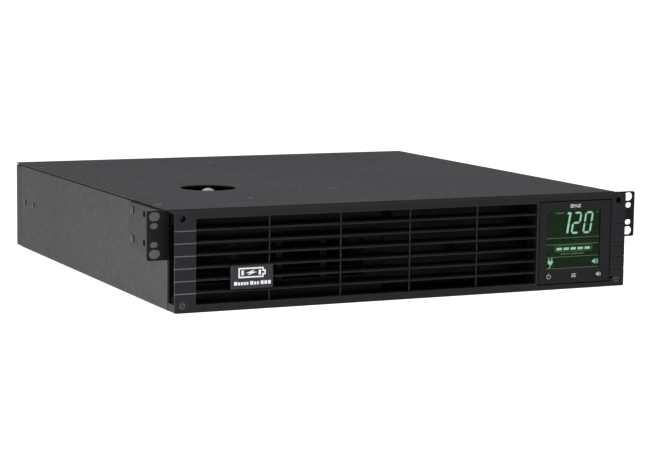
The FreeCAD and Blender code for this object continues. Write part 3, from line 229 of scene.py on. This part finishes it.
def moulded(name, base, rough=0.5, spec=0.4, grain=2200, edge_wear_and_highlight=None, edge_amount=0.35, relief=0.00003, coat=None, crevice_shade=None, recess=False):
    """Injection-moulded plastic with a spark-eroded surface."""
    m = Net(name)
    fine = m.noise(grain, 2.0, 0.5)
    flow = m.noise(12.0, 3.0, 0.55, m.scaled((1.0, 1.0, 3.0)))
    tone = m.math("ADD", m.ramp(flow, 0.3, 0.7, 0.38, 0.62), m.ramp(fine, 0.3, 0.7, -0.12, 0.12))
    col = m.mix(tone, tuple(c * 0.78 for c in base), tuple(c * 1.24 for c in base))
    mask, nrm = m.edge(0.00045)
    edge_wear_and_highlight = edge_wear_and_highlight or tuple(min(1.0, c * 2.6 + 0.01) for c in base)
    col = m.mix(m.math("MULTIPLY", mask, edge_amount), col, edge_wear_and_highlight)
    if recess:
        # near-black walls of the finger recesses behind the front plate, in place of their missing light
        deep = m.math("MULTIPLY", m.inside("X", 0.2085, 0.2215, True), m.inside("Y", Y(1.7), Y(17.7)))
        deep = m.math("MULTIPLY", deep, m.inside("Z", 0.0076, 0.0841))
        # painted highlight on the lower lips of the grooves across the left end column, standing in for the light they
        # catch from above
        sep = m.n("ShaderNodeSeparateXYZ")
        m.link(m.pos, sep.inputs["Vector"])
        step = m.math("FRACT", m.math("DIVIDE", m.math("SUBTRACT", sep.outputs["Z"], 0.01622), 0.01062), 0.0)
        lip = m.math("MULTIPLY", m.ramp(step, 0.0, 0.004), m.ramp(step, 0.056, 0.064, 1.0, 0.0))
        lip = m.math("MULTIPLY", lip, m.math("MULTIPLY", m.inside("X", -0.2225, -0.2025), m.inside("Z", 0.0155, 0.0712)))
        lip = m.math("MULTIPLY", lip, m.ramp(flow, 0.3, 0.7, 0.75, 1.0))
        col = m.mix(lip, col, (0.15, 0.155, 0.17))
        # near-black walls inside the louvre opening, in place of their missing light
        bay = m.math("MULTIPLY", m.inside("X", -0.208, 0.1315), m.inside("Y", Y(3.0), Y(18.0)))
        bay = m.math("MULTIPLY", bay, m.inside("Z", 0.0064, 0.0803))
        deep = m.math("MAXIMUM", deep, bay)
        # painted shade: the upper side of the frame darker, and also dull
        shaded_top = m.inside("Z", 0.08555, 0.09)
        col = m.mix(m.math("MULTIPLY", shaded_top, 0.55), col, (0.004, 0.004, 0.0048))
        col = m.mix(deep, col, (0.0012, 0.0012, 0.0013))
        dull = m.math("MAXIMUM", deep, shaded_top)
    rg = m.math("ADD", m.ramp(flow, 0.3, 0.7, rough - 0.05, rough + 0.05), m.ramp(fine, 0.3, 0.7, -0.04, 0.04))
    if recess:
        rg = m.math("MAXIMUM", rg, m.math("MULTIPLY", dull, 0.9))
    return m.done(col, rg, m.bump(fine, 0.45, relief, nrm), spec=spec, coat=coat, coat_rough=0.15, crevice_shade=crevice_shade)


def metal(name, base, rough=0.3, brushed=None, dirt=0.35, relief=0.00002, head_glint_colour=None):
    """Bare or plated metal; brushed gives the stretch of the grain along X, Y, Z."""
    m = Net(name)
    vec = m.scaled(brushed) if brushed else None
    lines = m.noise(900.0 if brushed else 500.0, 3.0, 0.6, vec)
    spots = m.noise(60.0, 4.0, 0.6)
    tone = m.math("ADD", m.ramp(lines, 0.3, 0.7, 0.36, 0.64), m.ramp(spots, 0.3, 0.7, -0.15, 0.15))
    col = m.mix(tone, tuple(c * 0.74 for c in base), tuple(min(1.0, c * 1.12) for c in base))
    mask, nrm = m.edge(0.0004)
    col = m.mix(m.math("MULTIPLY", mask, dirt), col, tuple(min(1.0, c * 1.35 + 0.02) for c in base))
    if head_glint_colour is not None:
        # painted highlight: the heads on top of the case made bright, standing in for the bright surroundings their
        # rims reflect
        head_glint = m.math("MULTIPLY", m.inside("Z", 0.0842, 0.09), m.ramp(spots, 0.3, 0.7, 0.7, 1.0))
        head_glint = m.math("MULTIPLY", head_glint, m.math("SUBTRACT", 1.0, m.inside("Y", Y(200.0), Y(310.0))))
        col = m.mix(head_glint, col, head_glint_colour)
        # painted shade: the screws behind the louvres made near-black, in place of their missing light
        col = m.mix(m.inside("Y", Y(20.0), Y(45.0)), col, (0.003, 0.003, 0.003))
    rg = m.math("ADD", m.ramp(lines, 0.3, 0.7, rough - 0.06, rough + 0.08), m.ramp(spots, 0.35, 0.7, -0.03, 0.08))
    return m.done(col, rg, m.bump(lines, 0.3, relief, nrm), metal=1.0)


def spangle(name, base, crevice_shade=None):
    """Galvanised sheet with its crystal spangle."""
    m = Net(name)
    v = m.n("ShaderNodeTexVoronoi")
    v.inputs["Scale"].default_value = 140.0
    m.link(m.pos, v.inputs["Vector"])
    grey = m.n("ShaderNodeRGBToBW")
    m.link(v.outputs["Color"], grey.inputs["Color"])
    fine = m.noise(700.0, 3.0)
    tone = m.math("ADD", m.ramp(grey.outputs["Val"], 0.1, 0.9, 0.3, 0.7), m.ramp(fine, 0.3, 0.7, -0.12, 0.12))
    col = m.mix(tone, tuple(c * 0.72 for c in base), tuple(min(1.0, c * 1.12) for c in base))
    mask, nrm = m.edge(0.0004)
    col = m.mix(m.math("MULTIPLY", mask, 0.3), col, tuple(min(1.0, c * 1.3) for c in base))
    rg = m.ramp(grey.outputs["Val"], 0.0, 1.0, 0.34, 0.52)
    # painted shade: the sheet's colour falls to near-black in its recesses
    return m.done(col, rg, m.bump(fine, 0.2, 0.00002, nrm), metal=1.0, crevice_shade=-0.06)


def board(name):
    """Solder resist over copper tracks."""
    m = Net(name)
    br = m.n("ShaderNodeTexBrick")
    br.inputs["Scale"].default_value = 95.0
    br.inputs["Mortar Size"].default_value = 0.06
    br.inputs["Color1"].default_value = (0.012, 0.085, 0.035, 1)
    br.inputs["Color2"].default_value = (0.016, 0.11, 0.045, 1)
    br.inputs["Mortar"].default_value = (0.03, 0.17, 0.07, 1)
    m.link(m.pos, br.inputs["Vector"])
    pads_ = m.n("ShaderNodeTexVoronoi")
    pads_.inputs["Scale"].default_value = 190.0
    m.link(m.pos, pads_.inputs["Vector"])
    dots = m.ramp(pads_.outputs["Distance"], 0.16, 0.22, 1.0, 0.0)
    few = m.ramp(m.noise(34.0, 2.0), 0.52, 0.56)
    dots = m.math("MULTIPLY", dots, few)
    col = m.mix(dots, br.outputs["Color"], (0.62, 0.6, 0.55))
    fine = m.noise(900.0)
    mask, nrm = m.edge(0.0003)
    return m.done(col, m.ramp(fine, 0.3, 0.7, 0.25, 0.42), m.bump(fine, 0.2, 0.00002, nrm), spec=0.5)


def winding(name, cx, cy):
    """Turns round a toroidal core under a wrap of dark tape."""
    m = Net(name)
    mp = m.n("ShaderNodeMapping")
    mp.inputs["Location"].default_value = (-cx, -cy, 0.0)
    m.link(m.pos, mp.inputs["Vector"])
    g = m.n("ShaderNodeTexGradient", gradient_type="RADIAL")
    m.link(mp.outputs["Vector"], g.inputs["Vector"])
    turns = m.math("SINE", m.math("MULTIPLY", g.outputs["Fac"], 2 * math.pi * 190))
    turns = m.ramp(turns, -1.0, 1.0)
    fine = m.noise(160.0, 3.0)
    col = m.mix(m.math("MULTIPLY", turns, m.ramp(fine, 0.3, 0.7, 0.6, 1.0)), (0.008, 0.0068, 0.006), (0.030, 0.024, 0.019))
    # painted shade: the turns' colour falls to near-black in the coil's crevices
    return m.done(col, m.ramp(fine, 0.3, 0.7, 0.26, 0.42), m.bump(turns, 0.8, 0.0004), metal=0.0, spec=0.1, crevice_shade=-0.08)


def rubbery(name, base, rough=0.7, relief=0.00005):
    m = Net(name)
    fine = m.noise(800.0, 3.0)
    broad = m.noise(25.0, 2.0)
    tone = m.math("ADD", m.ramp(broad, 0.3, 0.7, 0.35, 0.65), m.ramp(fine, 0.3, 0.7, -0.12, 0.12))
    col = m.mix(tone, tuple(c * 0.7 for c in base), tuple(min(1, c * 1.3 + 0.002) for c in base))
    mask, nrm = m.edge(0.0004)
    col = m.mix(m.math("MULTIPLY", mask, 0.25), col, tuple(min(1, c * 1.8 + 0.02) for c in base))
    return m.done(col, m.ramp(fine, 0.3, 0.7, rough - 0.08, rough + 0.08), m.bump(fine, 0.35, relief, nrm), spec=0.35)


def glow(name, base, power, under=0.06):
    """A lit part of the display: slightly uneven backlight."""
    m = Net(name)
    uneven = m.noise(90.0, 2.0)
    fine = m.noise(2500.0, 1.0)
    tone = m.math("ADD", m.ramp(uneven, 0.3, 0.7, 0.25, 0.75), m.ramp(fine, 0.3, 0.7, -0.2, 0.2))
    col = m.mix(tone, tuple(c * 0.82 for c in base), tuple(min(1, c * 1.1) for c in base))
    m.link(col, m.b.inputs["Emission Color"])
    m.b.inputs["Emission Strength"].default_value = power
    dim = m.mix(tone, tuple(c * under * 0.8 for c in base), tuple(c * under for c in base))
    return m.done(dim, m.ramp(fine, 0.3, 0.7, 0.4, 0.55), m.bump(fine, 0.15, 0.00001), spec=0.04)


def clear(name):
    """Clear acrylic window with faint handling marks."""
    m = Net(name)
    marks = m.noise(45.0, 4.0, 0.6, None, 0.6)
    fine = m.noise(1600.0, 2.0)
    tint = m.mix(marks, (0.010, 0.016, 0.011), (0.018, 0.024, 0.019))
    m.link(m.ramp(marks, 0.35, 0.7, 0.02, 0.045), m.b.inputs["Alpha"])
    rg = m.math("ADD", m.ramp(marks, 0.45, 0.7, 0.04, 0.10), m.ramp(fine, 0.3, 0.7, 0.0, 0.02))
    return m.done(tint, rg, m.bump(fine, 0.05, 0.000005), spec=0.4)


toroid_lo, toroid_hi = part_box("transformer_toroid")
COIL = ((toroid_lo[0] + toroid_hi[0]) / 2, (toroid_lo[1] + toroid_hi[1]) / 2)

CASE = (0.0350, 0.0354, 0.0382)
M = {
    "powder_coat_side": powder("powder_coat_side", CASE, (0.14, 0.14, 0.145), rough=0.54, spec=0.22, wrap=True),
    "powder_coat_top": powder("powder_coat_top", (0.031, 0.032, 0.0375), (0.10, 0.10, 0.105), rough=0.55, spec=0.2),
    # the ears get painted shade: their colour falls to near-black in their recesses
    "ear_paint": powder("ear_paint", (0.0040, 0.0040, 0.0044), (0.020, 0.020, 0.022), rough=0.5, spec=0.12, grain=1800, crevice_shade=-0.022, plate=CASE),
    "bare_sheet": spangle("bare_sheet", (0.50, 0.51, 0.52)),
    # the bezel's pale edges are partly wear and partly a painted highlight along its edge lines
    "bezel_plastic": moulded("bezel_plastic", (0.0078, 0.0080, 0.0102), rough=0.42, spec=0.15, recess=True, edge_wear_and_highlight=(0.085, 0.086, 0.095), edge_amount=0.75),
    "module_plastic": moulded("module_plastic", (0.0070, 0.0071, 0.0092), rough=0.44, spec=0.14, grain=2600),
    "button_plastic": moulded("button_plastic", (0.0078, 0.0079, 0.0102), rough=0.42, spec=0.14, grain=3000),
    "badge_plate": moulded("badge_plate", (0.0125, 0.0135, 0.0170), rough=0.36, spec=0.28, grain=3000),
    "window_clear": clear("window_clear"),
    "lcd_green": glow("lcd_green", (0.0068, 0.0170, 0.0064), 0.95, under=0.06),
    # the screw heads on top of the case get a painted highlight
    "screw_black": metal("screw_black", (0.07, 0.07, 0.073), rough=0.34, head_glint_colour=(0.42, 0.42, 0.43)),
    "screw_zinc": metal("screw_zinc", (0.74, 0.74, 0.72), rough=0.24),
    "coil_tape": winding("coil_tape", COIL[0], COIL[1]),
    "neoprene": rubbery("neoprene", (0.018, 0.018, 0.018), 0.8),
    "steel_washer": metal("steel_washer", (0.36, 0.36, 0.36), rough=0.36, brushed=(1.0, 1.0, 1.0)),
    "circuit_board": board("circuit_board"),
    "component_black": moulded("component_black", (0.015, 0.015, 0.016), rough=0.35, spec=0.45),
    "capacitor_sleeve": moulded("capacitor_sleeve", (0.010, 0.016, 0.05), rough=0.25, spec=0.5, coat=0.3),
    "heatsink_alu": metal("heatsink_alu", (0.72, 0.73, 0.74), rough=0.34, brushed=(1.0, 1.0, 0.05)),
    "brass_post": metal("brass_post", (0.70, 0.52, 0.24), rough=0.26),
    "fan_plastic": moulded("fan_plastic", (0.016, 0.016, 0.017), rough=0.45, spec=0.4),
    "rotor_plastic": moulded("rotor_plastic", (0.02, 0.02, 0.021), rough=0.4, spec=0.42),
    "guard_wire": metal("guard_wire", (0.62, 0.62, 0.61), rough=0.2),
    "outlet_plastic": moulded("outlet_plastic", (0.018, 0.018, 0.019), rough=0.34, spec=0.45),
    "inlet_plastic": moulded("inlet_plastic", (0.016, 0.016, 0.017), rough=0.4, spec=0.42),
    "pin_brass": metal("pin_brass", (0.66, 0.62, 0.50), rough=0.24),
    "breaker_plastic": moulded("breaker_plastic", (0.014, 0.014, 0.015), rough=0.42, spec=0.4),
    "reset_plastic": moulded("reset_plastic", (0.42, 0.42, 0.40), rough=0.4, spec=0.45, edge_wear_and_highlight=(0.2, 0.2, 0.19)),
    "port_metal": metal("port_metal", (0.60, 0.60, 0.57), rough=0.3),
    "port_plastic": moulded("port_plastic", (0.018, 0.018, 0.019), rough=0.45, spec=0.4),
    "wire_black": rubbery("wire_black", (0.02, 0.02, 0.021), 0.5),
    "wire_red": rubbery("wire_red", (0.36, 0.012, 0.012), 0.48),
    "battery_case": moulded("battery_case", (0.035, 0.036, 0.040), rough=0.5, spec=0.4, grain=1200, relief=0.00005),
    "terminal_tin": metal("terminal_tin", (0.66, 0.65, 0.61), rough=0.32),
    "grip_plastic": moulded("grip_plastic", (0.0022, 0.0022, 0.0024), rough=0.5, spec=0.08, edge_wear_and_highlight=(0.006, 0.006, 0.006)),
    "lit_segment": glow("lit_segment", (0.34, 0.66, 0.45), 0.92),
    "lit_line": glow("lit_line", (0.085, 0.165, 0.085), 1.0),
    "lit_icon": glow("lit_icon", (0.30, 0.60, 0.40), 0.95),
    "icon_paint": moulded("icon_paint", (0.42, 0.42, 0.43), rough=0.45, spec=0.4, grain=3000, edge_amount=0.1),
    "mark_paint": moulded("mark_paint", (0.62, 0.63, 0.64), rough=0.4, spec=0.4, grain=3000, edge_amount=0.05),
}

slot_of = {s["node"]: s["material_slot"] for s in frame["record"]["subparts"]}
for name, obj in NODES.items():
    mat = M[slot_of[name]]
    if len(obj.data.materials) == 0:
        obj.data.materials.append(mat)
    for i in range(len(obj.material_slots)):
        obj.material_slots[i].material = mat

# ------------------------------------------------------------------- geometry


def mesh_object(name, bm, mat, body):
    me = bpy.data.meshes.new(name)
    bmesh.ops.recalc_face_normals(bm, faces=bm.faces)
    bm.to_mesh(me)
    bm.free()
    o = bpy.data.objects.new(name, me)
    scene.collection.objects.link(o)
    me.materials.append(M[mat])
    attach(o, body)
    return o


def prism(bm, pts, y0, y1):
    """Closed plate with the outline pts (x, z in millimetres, row frame) between two depths in millimetres."""
    a = [bm.verts.new((x * MM, Y(y0), z * MM)) for x, z in pts]
    b = [bm.verts.new((x * MM, Y(y1), z * MM)) for x, z in pts]
    n = len(pts)
    bm.faces.new(a)
    bm.faces.new(list(reversed(b)))
    for i in range(n):
        j = (i + 1) % n
        bm.faces.new((a[j], a[i], b[i], b[j]))


def rect(bm, x0, x1, z0, z1, y0, y1):
    prism(bm, [(x0, z0), (x1, z0), (x1, z1), (x0, z1)], y0, y1)


def disc(bm, cx, cz, r, y0, y1, n=32, a0=0.0, a1=360.0):
    prism(bm, [(cx + r * math.cos(math.radians(a0 + (a1 - a0) * i / n)), cz + r * math.sin(math.radians(a0 + (a1 - a0) * i / n)))
               for i in range(n)], y0, y1)


def arc_band(bm, cx, cz, r0, r1, a0, a1, y0, y1, n=24):
    """Curved strip between two radii; closed into a full ring where it spans 360 degrees."""
    full = abs(a1 - a0) >= 359.9
    rows = []
    for i in range(n if full else n + 1):
        t = math.radians(a0 + (a1 - a0) * i / n)
        c, s = math.cos(t), math.sin(t)
        rows.append([bm.verts.new(((cx + r * c) * MM, Y(y), (cz + r * s) * MM)) for r, y in ((r0, y0), (r1, y0), (r1, y1), (r0, y1))])
    for i in range(len(rows) if full else len(rows) - 1):
        p, q = rows[i], rows[(i + 1) % len(rows)]
        for k in range(4):
            bm.faces.new((p[k], p[(k + 1) % 4], q[(k + 1) % 4], q[k]))
    if not full:
        bm.faces.new(rows[0])
        bm.faces.new(list(reversed(rows[-1])))


def segment_digit(bm, x, z, w, h, t, lean, lit, y0, y1):
    """Slanted seven-segment digit; x, z is its lower left corner."""
    g = 0.42
    half = t / 2

    def put(pts):
        prism(bm, [(x + px + lean * pz, z + pz) for px, pz in pts], y0, y1)

    def across(zc, x0, x1):
        put([(x0, zc), (x0 + half, zc - half), (x1 - half, zc - half), (x1, zc), (x1 - half, zc + half), (x0 + half, zc + half)])

    def upright(xc, z0, z1):
        put([(xc, z0), (xc + half, z0 + half), (xc + half, z1 - half), (xc, z1), (xc - half, z1 - half), (xc - half, z0 + half)])

    L, R, m = half, w - half, h / 2
    if "a" in lit:
        across(h - half, L + g, R - g)
    if "g" in lit:
        across(m, L + g, R - g)
    if "d" in lit:
        across(half, L + g, R - g)
    if "f" in lit:
        upright(L, m + g, h - half - g)
    if "b" in lit:
        upright(R, m + g, h - half - g)
    if "e" in lit:
        upright(L, half + g, m - g)
    if "c" in lit:
        upright(R, half + g, m - g)


# ---- what the display shows: all of it lies between the LCD and the window
lcd_lo, lcd_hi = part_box("lcd_panel")
FACE = (lcd_lo[1] - FRONT) / MM              # depth of the LCD's front face
G0, G1 = FACE - 0.16, FACE - 0.01
SX, SZ = 1.5, -0.4                            # drawn this far off, because they lie behind the front plane


def shifted(bm):
    bmesh.ops.translate(bm, verts=bm.verts, vec=(SX * MM, 0.0, SZ * MM))
    return bm


bm = bmesh.new()
lean = 0.165
top, low = 71.0, 50.9
hgt = top - low
segment_digit(bm, 163.3, low, 8.9, hgt, 1.8, lean, "abged", G0, G1)
segment_digit(bm, 175.7, low, 8.9, hgt, 1.8, lean, "abcdef", G0, G1)
# the leading one: two uprights and a short flag
for z0, z1 in ((0.9, hgt / 2 - 0.2), (hgt / 2 + 0.2, hgt - 0.2)):
    prism(bm, [(158.6 + lean * z0, low + z0), (160.6 + lean * z0, low + z0), (160.6 + lean * z1, low + z1), (158.6 + lean * z1, low + z1)], G0, G1)
prism(bm, [(159.2 + 0.3, top - 1.9), (161.5, top - 1.9), (161.9, top), (160.4, top)], G0, G1)
for i in range(5):
    x0 = 148.8 + i * 7.5
    prism(bm, [(x0, 36.3), (x0 + 5.6, 36.3), (x0 + 5.9, 38.6), (x0 + 0.3, 38.6)], G0, G1)
mesh_object("display_digits", shifted(bm), "lit_segment", "display_module")

bm = bmesh.new()
for zc in (47.5, 41.6, 30.1, 19.6):
    rect(bm, 137.6, 194.6, zc - 0.22, zc + 0.22, G0, G1)
ol = [(147.2, 34.8), (185.3, 34.8), (187.4, 37.8), (185.3, 40.8), (147.2, 40.8)]
inner = [(147.65, 35.2), (185.05, 35.2), (186.9, 37.8), (185.05, 40.4), (147.65, 40.4)]
for i in range(5):
    j = (i + 1) % 5
    prism(bm, [ol[i], ol[j], inner[j], inner[i]], G0, G1)
mesh_object("display_rules", shifted(bm), "lit_line", "display_module")

bm = bmesh.new()
# short bars in place of captions
for x0, x1, zc in ((147.6, 149.4, 70.4), (150.0, 152.2, 70.4), (152.8, 155.2, 70.4)):
    rect(bm, x0, x1, zc - 0.55, zc + 0.55, G0, G1)
disc(bm, 191.4, 70.4, 0.75, G0, G1, 16)
for k, (x0, x1) in enumerate(((153.0, 158.2), (159.0, 162.4), (164.6, 170.4), (171.2, 177.8))):
    rect(bm, x0, x1, 32.3, 33.2, G0, G1)
mesh_object("display_captions", shifted(bm), "lit_line", "display_module")

bm = bmesh.new()
# plug symbol
cx, cz = 142.6, 25.6
rect(bm, cx - 1.9, cx - 1.1, cz + 1.2, cz + 3.8, G0, G1)
rect(bm, cx + 1.1, cx + 1.9, cz + 1.2, cz + 3.8, G0, G1)
pts = [(cx - 2.9, cz + 1.2), (cx - 2.9, cz + 0.3)]
pts += [(cx + 2.5 * math.cos(math.radians(a)), cz - 0.1 + 2.3 * math.sin(math.radians(a))) for a in range(180, 361, 15)]
pts += [(cx + 2.9, cz + 0.3), (cx + 2.9, cz + 1.2)]
prism(bm, pts, G0, G1)
rect(bm, cx - 0.35, cx + 0.35, cz - 3.4, cz - 2.2, G0, G1)
arc_band(bm, cx - 1.7, cz - 3.4, 1.4, 2.05, -90, 0, G0, G1, 8)
# loudspeaker symbol
sx, sz = 189.4, 24.6
prism(bm, [(sx - 2.0, sz - 1.1), (sx - 0.6, sz - 1.1), (sx + 1.3, sz - 2.6), (sx + 1.3, sz + 2.6), (sx - 0.6, sz + 1.1), (sx - 2.0, sz + 1.1)], G0, G1)
arc_band(bm, sx + 0.6, sz, 2.0, 2.5, -42, 42, G0, G1, 10)
arc_band(bm, sx + 0.6, sz, 3.3, 3.8, -42, 42, G0, G1, 10)
mesh_object("display_symbols", shifted(bm), "lit_icon", "display_module")

# ---- generic mark above the window, and the symbols on the buttons
face = (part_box("display_housing")[0][1] - FRONT) / MM
F0, F1 = face - 0.05, face + 0.06
bm = bmesh.new()
prism(bm, [(162.3, 75.0), (166.2, 75.0), (166.9, 76.2), (163.0, 76.2)], F0, F1)
prism(bm, [(162.3, 76.8), (166.5, 76.8), (167.2, 78.0), (163.0, 78.0)], F0, F1)
prism(bm, [(167.3, 74.5), (170.5, 76.7), (168.6, 76.8), (169.5, 78.6), (166.4, 76.4), (168.3, 76.3)], F0, F1)
prism(bm, [(169.6, 75.0), (173.2, 75.0), (173.9, 76.2), (170.3, 76.2)], F0, F1)
prism(bm, [(170.3, 76.8), (173.2, 76.8), (173.9, 78.0), (170.7, 78.0)], F0, F1)
mesh_object("module_mark", bm, "icon_paint", "display_module")

cap = (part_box("power_button")[0][1] - FRONT) / MM
B0, B1 = cap - 0.06, cap + 0.05


def centre_x(node):
    lo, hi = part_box(node)
    return (lo[0] + hi[0]) / 2 / MM, (lo[2] + hi[2]) / 2 / MM


bx, bz = centre_x("power_button")
bm = bmesh.new()
arc_band(bm, bx, bz, 1.75, 2.3, 120, 420, B0, B1, 24)
rect(bm, bx - 0.28, bx + 0.28, bz + 0.4, bz + 2.6, B0, B1)
mesh_object("power_symbol", bm, "icon_paint", "power_button")
bx, bz = centre_x("mode_button")
bm = bmesh.new()
for dz, wd in ((1.3, 2.5), (0.0, 2.5), (-1.3, 2.5)):
    rect(bm, bx - wd, bx + wd, bz + dz - 0.32, bz + dz + 0.32, B0, B1)
mesh_object("mode_symbol", bm, "icon_paint", "mode_button")
bx, bz = centre_x("mute_button")
bm = bmesh.new()
prism(bm, [(bx - 2.4, bz - 0.9), (bx - 1.2, bz - 0.9), (bx + 0.4, bz - 2.2), (bx + 0.4, bz + 2.2), (bx - 1.2, bz + 0.9), (bx - 2.4, bz + 0.9)], B0, B1)
prism(bm, [(bx + 1.0, bz - 1.3), (bx + 1.45, bz - 1.6), (bx + 2.9, bz + 1.3), (bx + 2.45, bz + 1.6)], B0, B1)
prism(bm, [(bx + 1.45, bz + 1.6), (bx + 1.0, bz + 1.3), (bx + 2.45, bz - 1.6), (bx + 2.9, bz - 1.3)], B0 + 0.01, B1)
mesh_object("mute_symbol", bm, "icon_paint", "mute_button")

# ---- badge plate with a plain battery-and-bolt pictogram
lo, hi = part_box("nameplate")
px0, px1, pz0, pz1 = lo[0] / MM, hi[0] / MM, lo[2] / MM, hi[2] / MM
py0, py1 = (lo[1] - FRONT) / MM, (hi[1] - FRONT) / MM
bm = bmesh.new()
# pillow-edged plate: two stacked outlines
r = 0.9


def round_rect(x0, x1, z0, z1, r, n=6):
    pts = []
    for cx, cz, a in ((x1 - r, z1 - r, 0), (x0 + r, z1 - r, 90), (x0 + r, z0 + r, 180), (x1 - r, z0 + r, 270)):
        for i in range(n + 1):
            t = math.radians(a + 90 * i / n)
            pts.append((cx + r * math.cos(t), cz + r * math.sin(t)))
    return pts


rings = []
for inset, y in ((0.0, py1), (0.0, py0 + 0.55), (0.18, py0 + 0.22), (0.5, py0 + 0.08)):
    pts = round_rect(px0 + inset, px1 - inset, pz0 + inset, pz1 - inset, r)
    rings.append([bm.verts.new((x * MM, Y(y), z * MM)) for x, z in pts])
for a, b in zip(rings, rings[1:]):
    for i in range(len(a)):
        j = (i + 1) % len(a)
        bm.faces.new((a[i], a[j], b[j], b[i]))
bm.faces.new(rings[0])
bm.faces.new(list(reversed(rings[-1])))
plate = mesh_object("badge_plate", bm, "badge_plate", "front_bezel")
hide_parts("nameplate")
cx = (px0 + px1) / 2
bm = bmesh.new()
P0, P1 = py0 + 0.0, py0 + 0.12
ol = [(cx - 12.6, 27.6), (cx + 10.6, 27.6), (cx + 10.6, 29.9), (cx + 12.6, 29.9), (cx + 12.6, 34.1), (cx + 10.6, 34.1), (cx + 10.6, 36.4), (cx - 12.6, 36.4)]
il = [(cx - 11.3, 28.9), (cx + 9.3, 28.9), (cx + 9.3, 31.2), (cx + 11.3, 31.2), (cx + 11.3, 32.8), (cx + 9.3, 32.8), (cx + 9.3, 35.1), (cx - 11.3, 35.1)]
for i in range(8):
    j = (i + 1) % 8
    prism(bm, [ol[i], ol[j], il[j], il[i]], P0, P1)
prism(bm, [(cx - 4.6, 29.6), (cx + 4.6, 32.4), (cx + 0.6, 32.8), (cx + 2.6, 34.5), (cx - 6.0, 31.8), (cx - 2.0, 31.4)], P0, P1)
for x0, x1 in ((-9.9, -7.6), (6.0, 8.2)):
    rect(bm, cx + x0, cx + x1, 29.9, 34.1, P0, P1)
x0 = cx - 16.6
for wd in (3.0, 1.8, 1.8, 1.8, 1.8, 0.0, 3.0, 1.8, 1.8, 0.0, 2.6, 2.6, 2.6):
    if wd:
        rect(bm, x0, x0 + wd, 21.6, 24.2 + (0.5 if wd > 2 else 0.0), P0, P1)
        x0 += wd + 0.75
    else:
        x0 += 0.9
mesh_object("badge_mark", bm, "mark_paint", "front_bezel")

# ------------------------------------------------------------- stage and lights
floor_me = bpy.data.meshes.new("floor")
bm = bmesh.new()
vs = [bm.verts.new(p) for p in ((-30, -30, 0), (30, -30, 0), (30, 60, 0), (-30, 60, 0))]
bm.faces.new(vs)
bm.to_mesh(floor_me)
bm.free()
floor = bpy.data.objects.new("floor", floor_me)
scene.collection.objects.link(floor)
fl = Net("floor_pale")
soft = fl.noise(1.2, 2.0)
fl.done(fl.mix(fl.ramp(soft, 0.3, 0.7), (0.90, 0.90, 0.905), (0.93, 0.93, 0.93)), fl.ramp(soft, 0.3, 0.7, 0.75, 0.85), spec=0.1)
fl.b.inputs["Emission Color"].default_value = (1.0, 1.0, 1.0, 1.0)

fl.b.inputs["Emission Strength"].default_value = 0.80
floor_me.materials.append(fl.mat)

world = bpy.data.worlds.new("studio")
scene.world = world
world.use_nodes = True
wt = world.node_tree
wt.nodes.clear()
wo = wt.nodes.new("ShaderNodeOutputWorld")
bg = wt.nodes.new("ShaderNodeBackground")
wt.links.new(bg.outputs[0], wo.inputs["Surface"])


def wnode(kind, **props):
    node = wt.nodes.new(kind)
    for k, v in props.items():
        setattr(node, k, v)
    return node


def wramp(src, lo, hi, a, b):
    r = wnode("ShaderNodeMapRange")
    r.clamp = True
    for k, v in (("From Min", lo), ("From Max", hi), ("To Min", a), ("To Max", b)):
        r.inputs[k].default_value = v
    wt.links.new(src, r.inputs["Value"])
    return r.outputs["Result"]


def wadd(a, b):
    m = wnode("ShaderNodeMath", operation="ADD")
    wt.links.new(a, m.inputs[0])
    wt.links.new(b, m.inputs[1])
    return m.outputs[0]


# soft light from behind and overhead, a little from the left, a dim room at the front and right
wsep = wnode("ShaderNodeSeparateXYZ")
wt.links.new(wnode("ShaderNodeTexCoord").outputs["Generated"], wsep.inputs["Vector"])
wleft = wramp(wsep.outputs["X"], -0.95, -0.15, 0.05, 0.0)
wback = wramp(wsep.outputs["Y"], -0.15, 0.7, 0.045, 0.42)
wtop = wramp(wsep.outputs["Z"], 0.15, 0.9, 0.0, 0.22)
wt.links.new(wadd(wadd(wleft, wback), wtop), bg.inputs["Strength"])
bg.inputs["Color"].default_value = (1.0, 1.0, 1.0, 1.0)


def area(name, loc, target, size_x, size_y, watts):
    ld = bpy.data.lights.new(name, "AREA")
    ld.shape = "RECTANGLE"
    ld.size = size_x
    ld.size_y = size_y
    ld.energy = watts
    o = bpy.data.objects.new(name, ld)
    scene.collection.objects.link(o)
    o.location = loc
    d = Vector(target) - Vector(loc)
    o.rotation_euler = d.to_track_quat("-Z", "Y").to_euler()
    return o


area("left_softbox", (-0.55, -0.50, 0.04), (-0.222, -0.16, 0.0), 0.24, 0.06, 1.2)
area("overhead", (-0.35, -1.3, 1.6), (0.0, -0.15, 0.0), 1.2, 0.7, 24.0)

# ------------------------------------------------------------------- camera
cam_data = bpy.data.cameras.new("camera")
cam = bpy.data.objects.new("camera", cam_data)
scene.collection.objects.link(cam)
yaw, pit, rol = math.radians(25.107), math.radians(7.386), math.radians(0.706)
fwd = Vector((math.sin(yaw) * math.cos(pit), math.cos(yaw) * math.cos(pit), -math.sin(pit)))
right = Vector((math.cos(yaw), -math.sin(yaw), 0.0))
up = right.cross(fwd)
r2 = right * math.cos(rol) + up * math.sin(rol)
u2 = -right * math.sin(rol) + up * math.cos(rol)
eye = Vector((-0.82153, -1.57172 + FRONT, 0.2885))
cam.matrix_world = Matrix(((r2.x, u2.x, -fwd.x, eye.x), (r2.y, u2.y, -fwd.y, eye.y), (r2.z, u2.z, -fwd.z, eye.z), (0, 0, 0, 1)))
cam_data.sensor_width = 36.0
cam_data.lens = 2035.21 * 36.0 / 648.0
cam_data.clip_start = 0.05
cam_data.clip_end = 50.0
scene.camera = cam
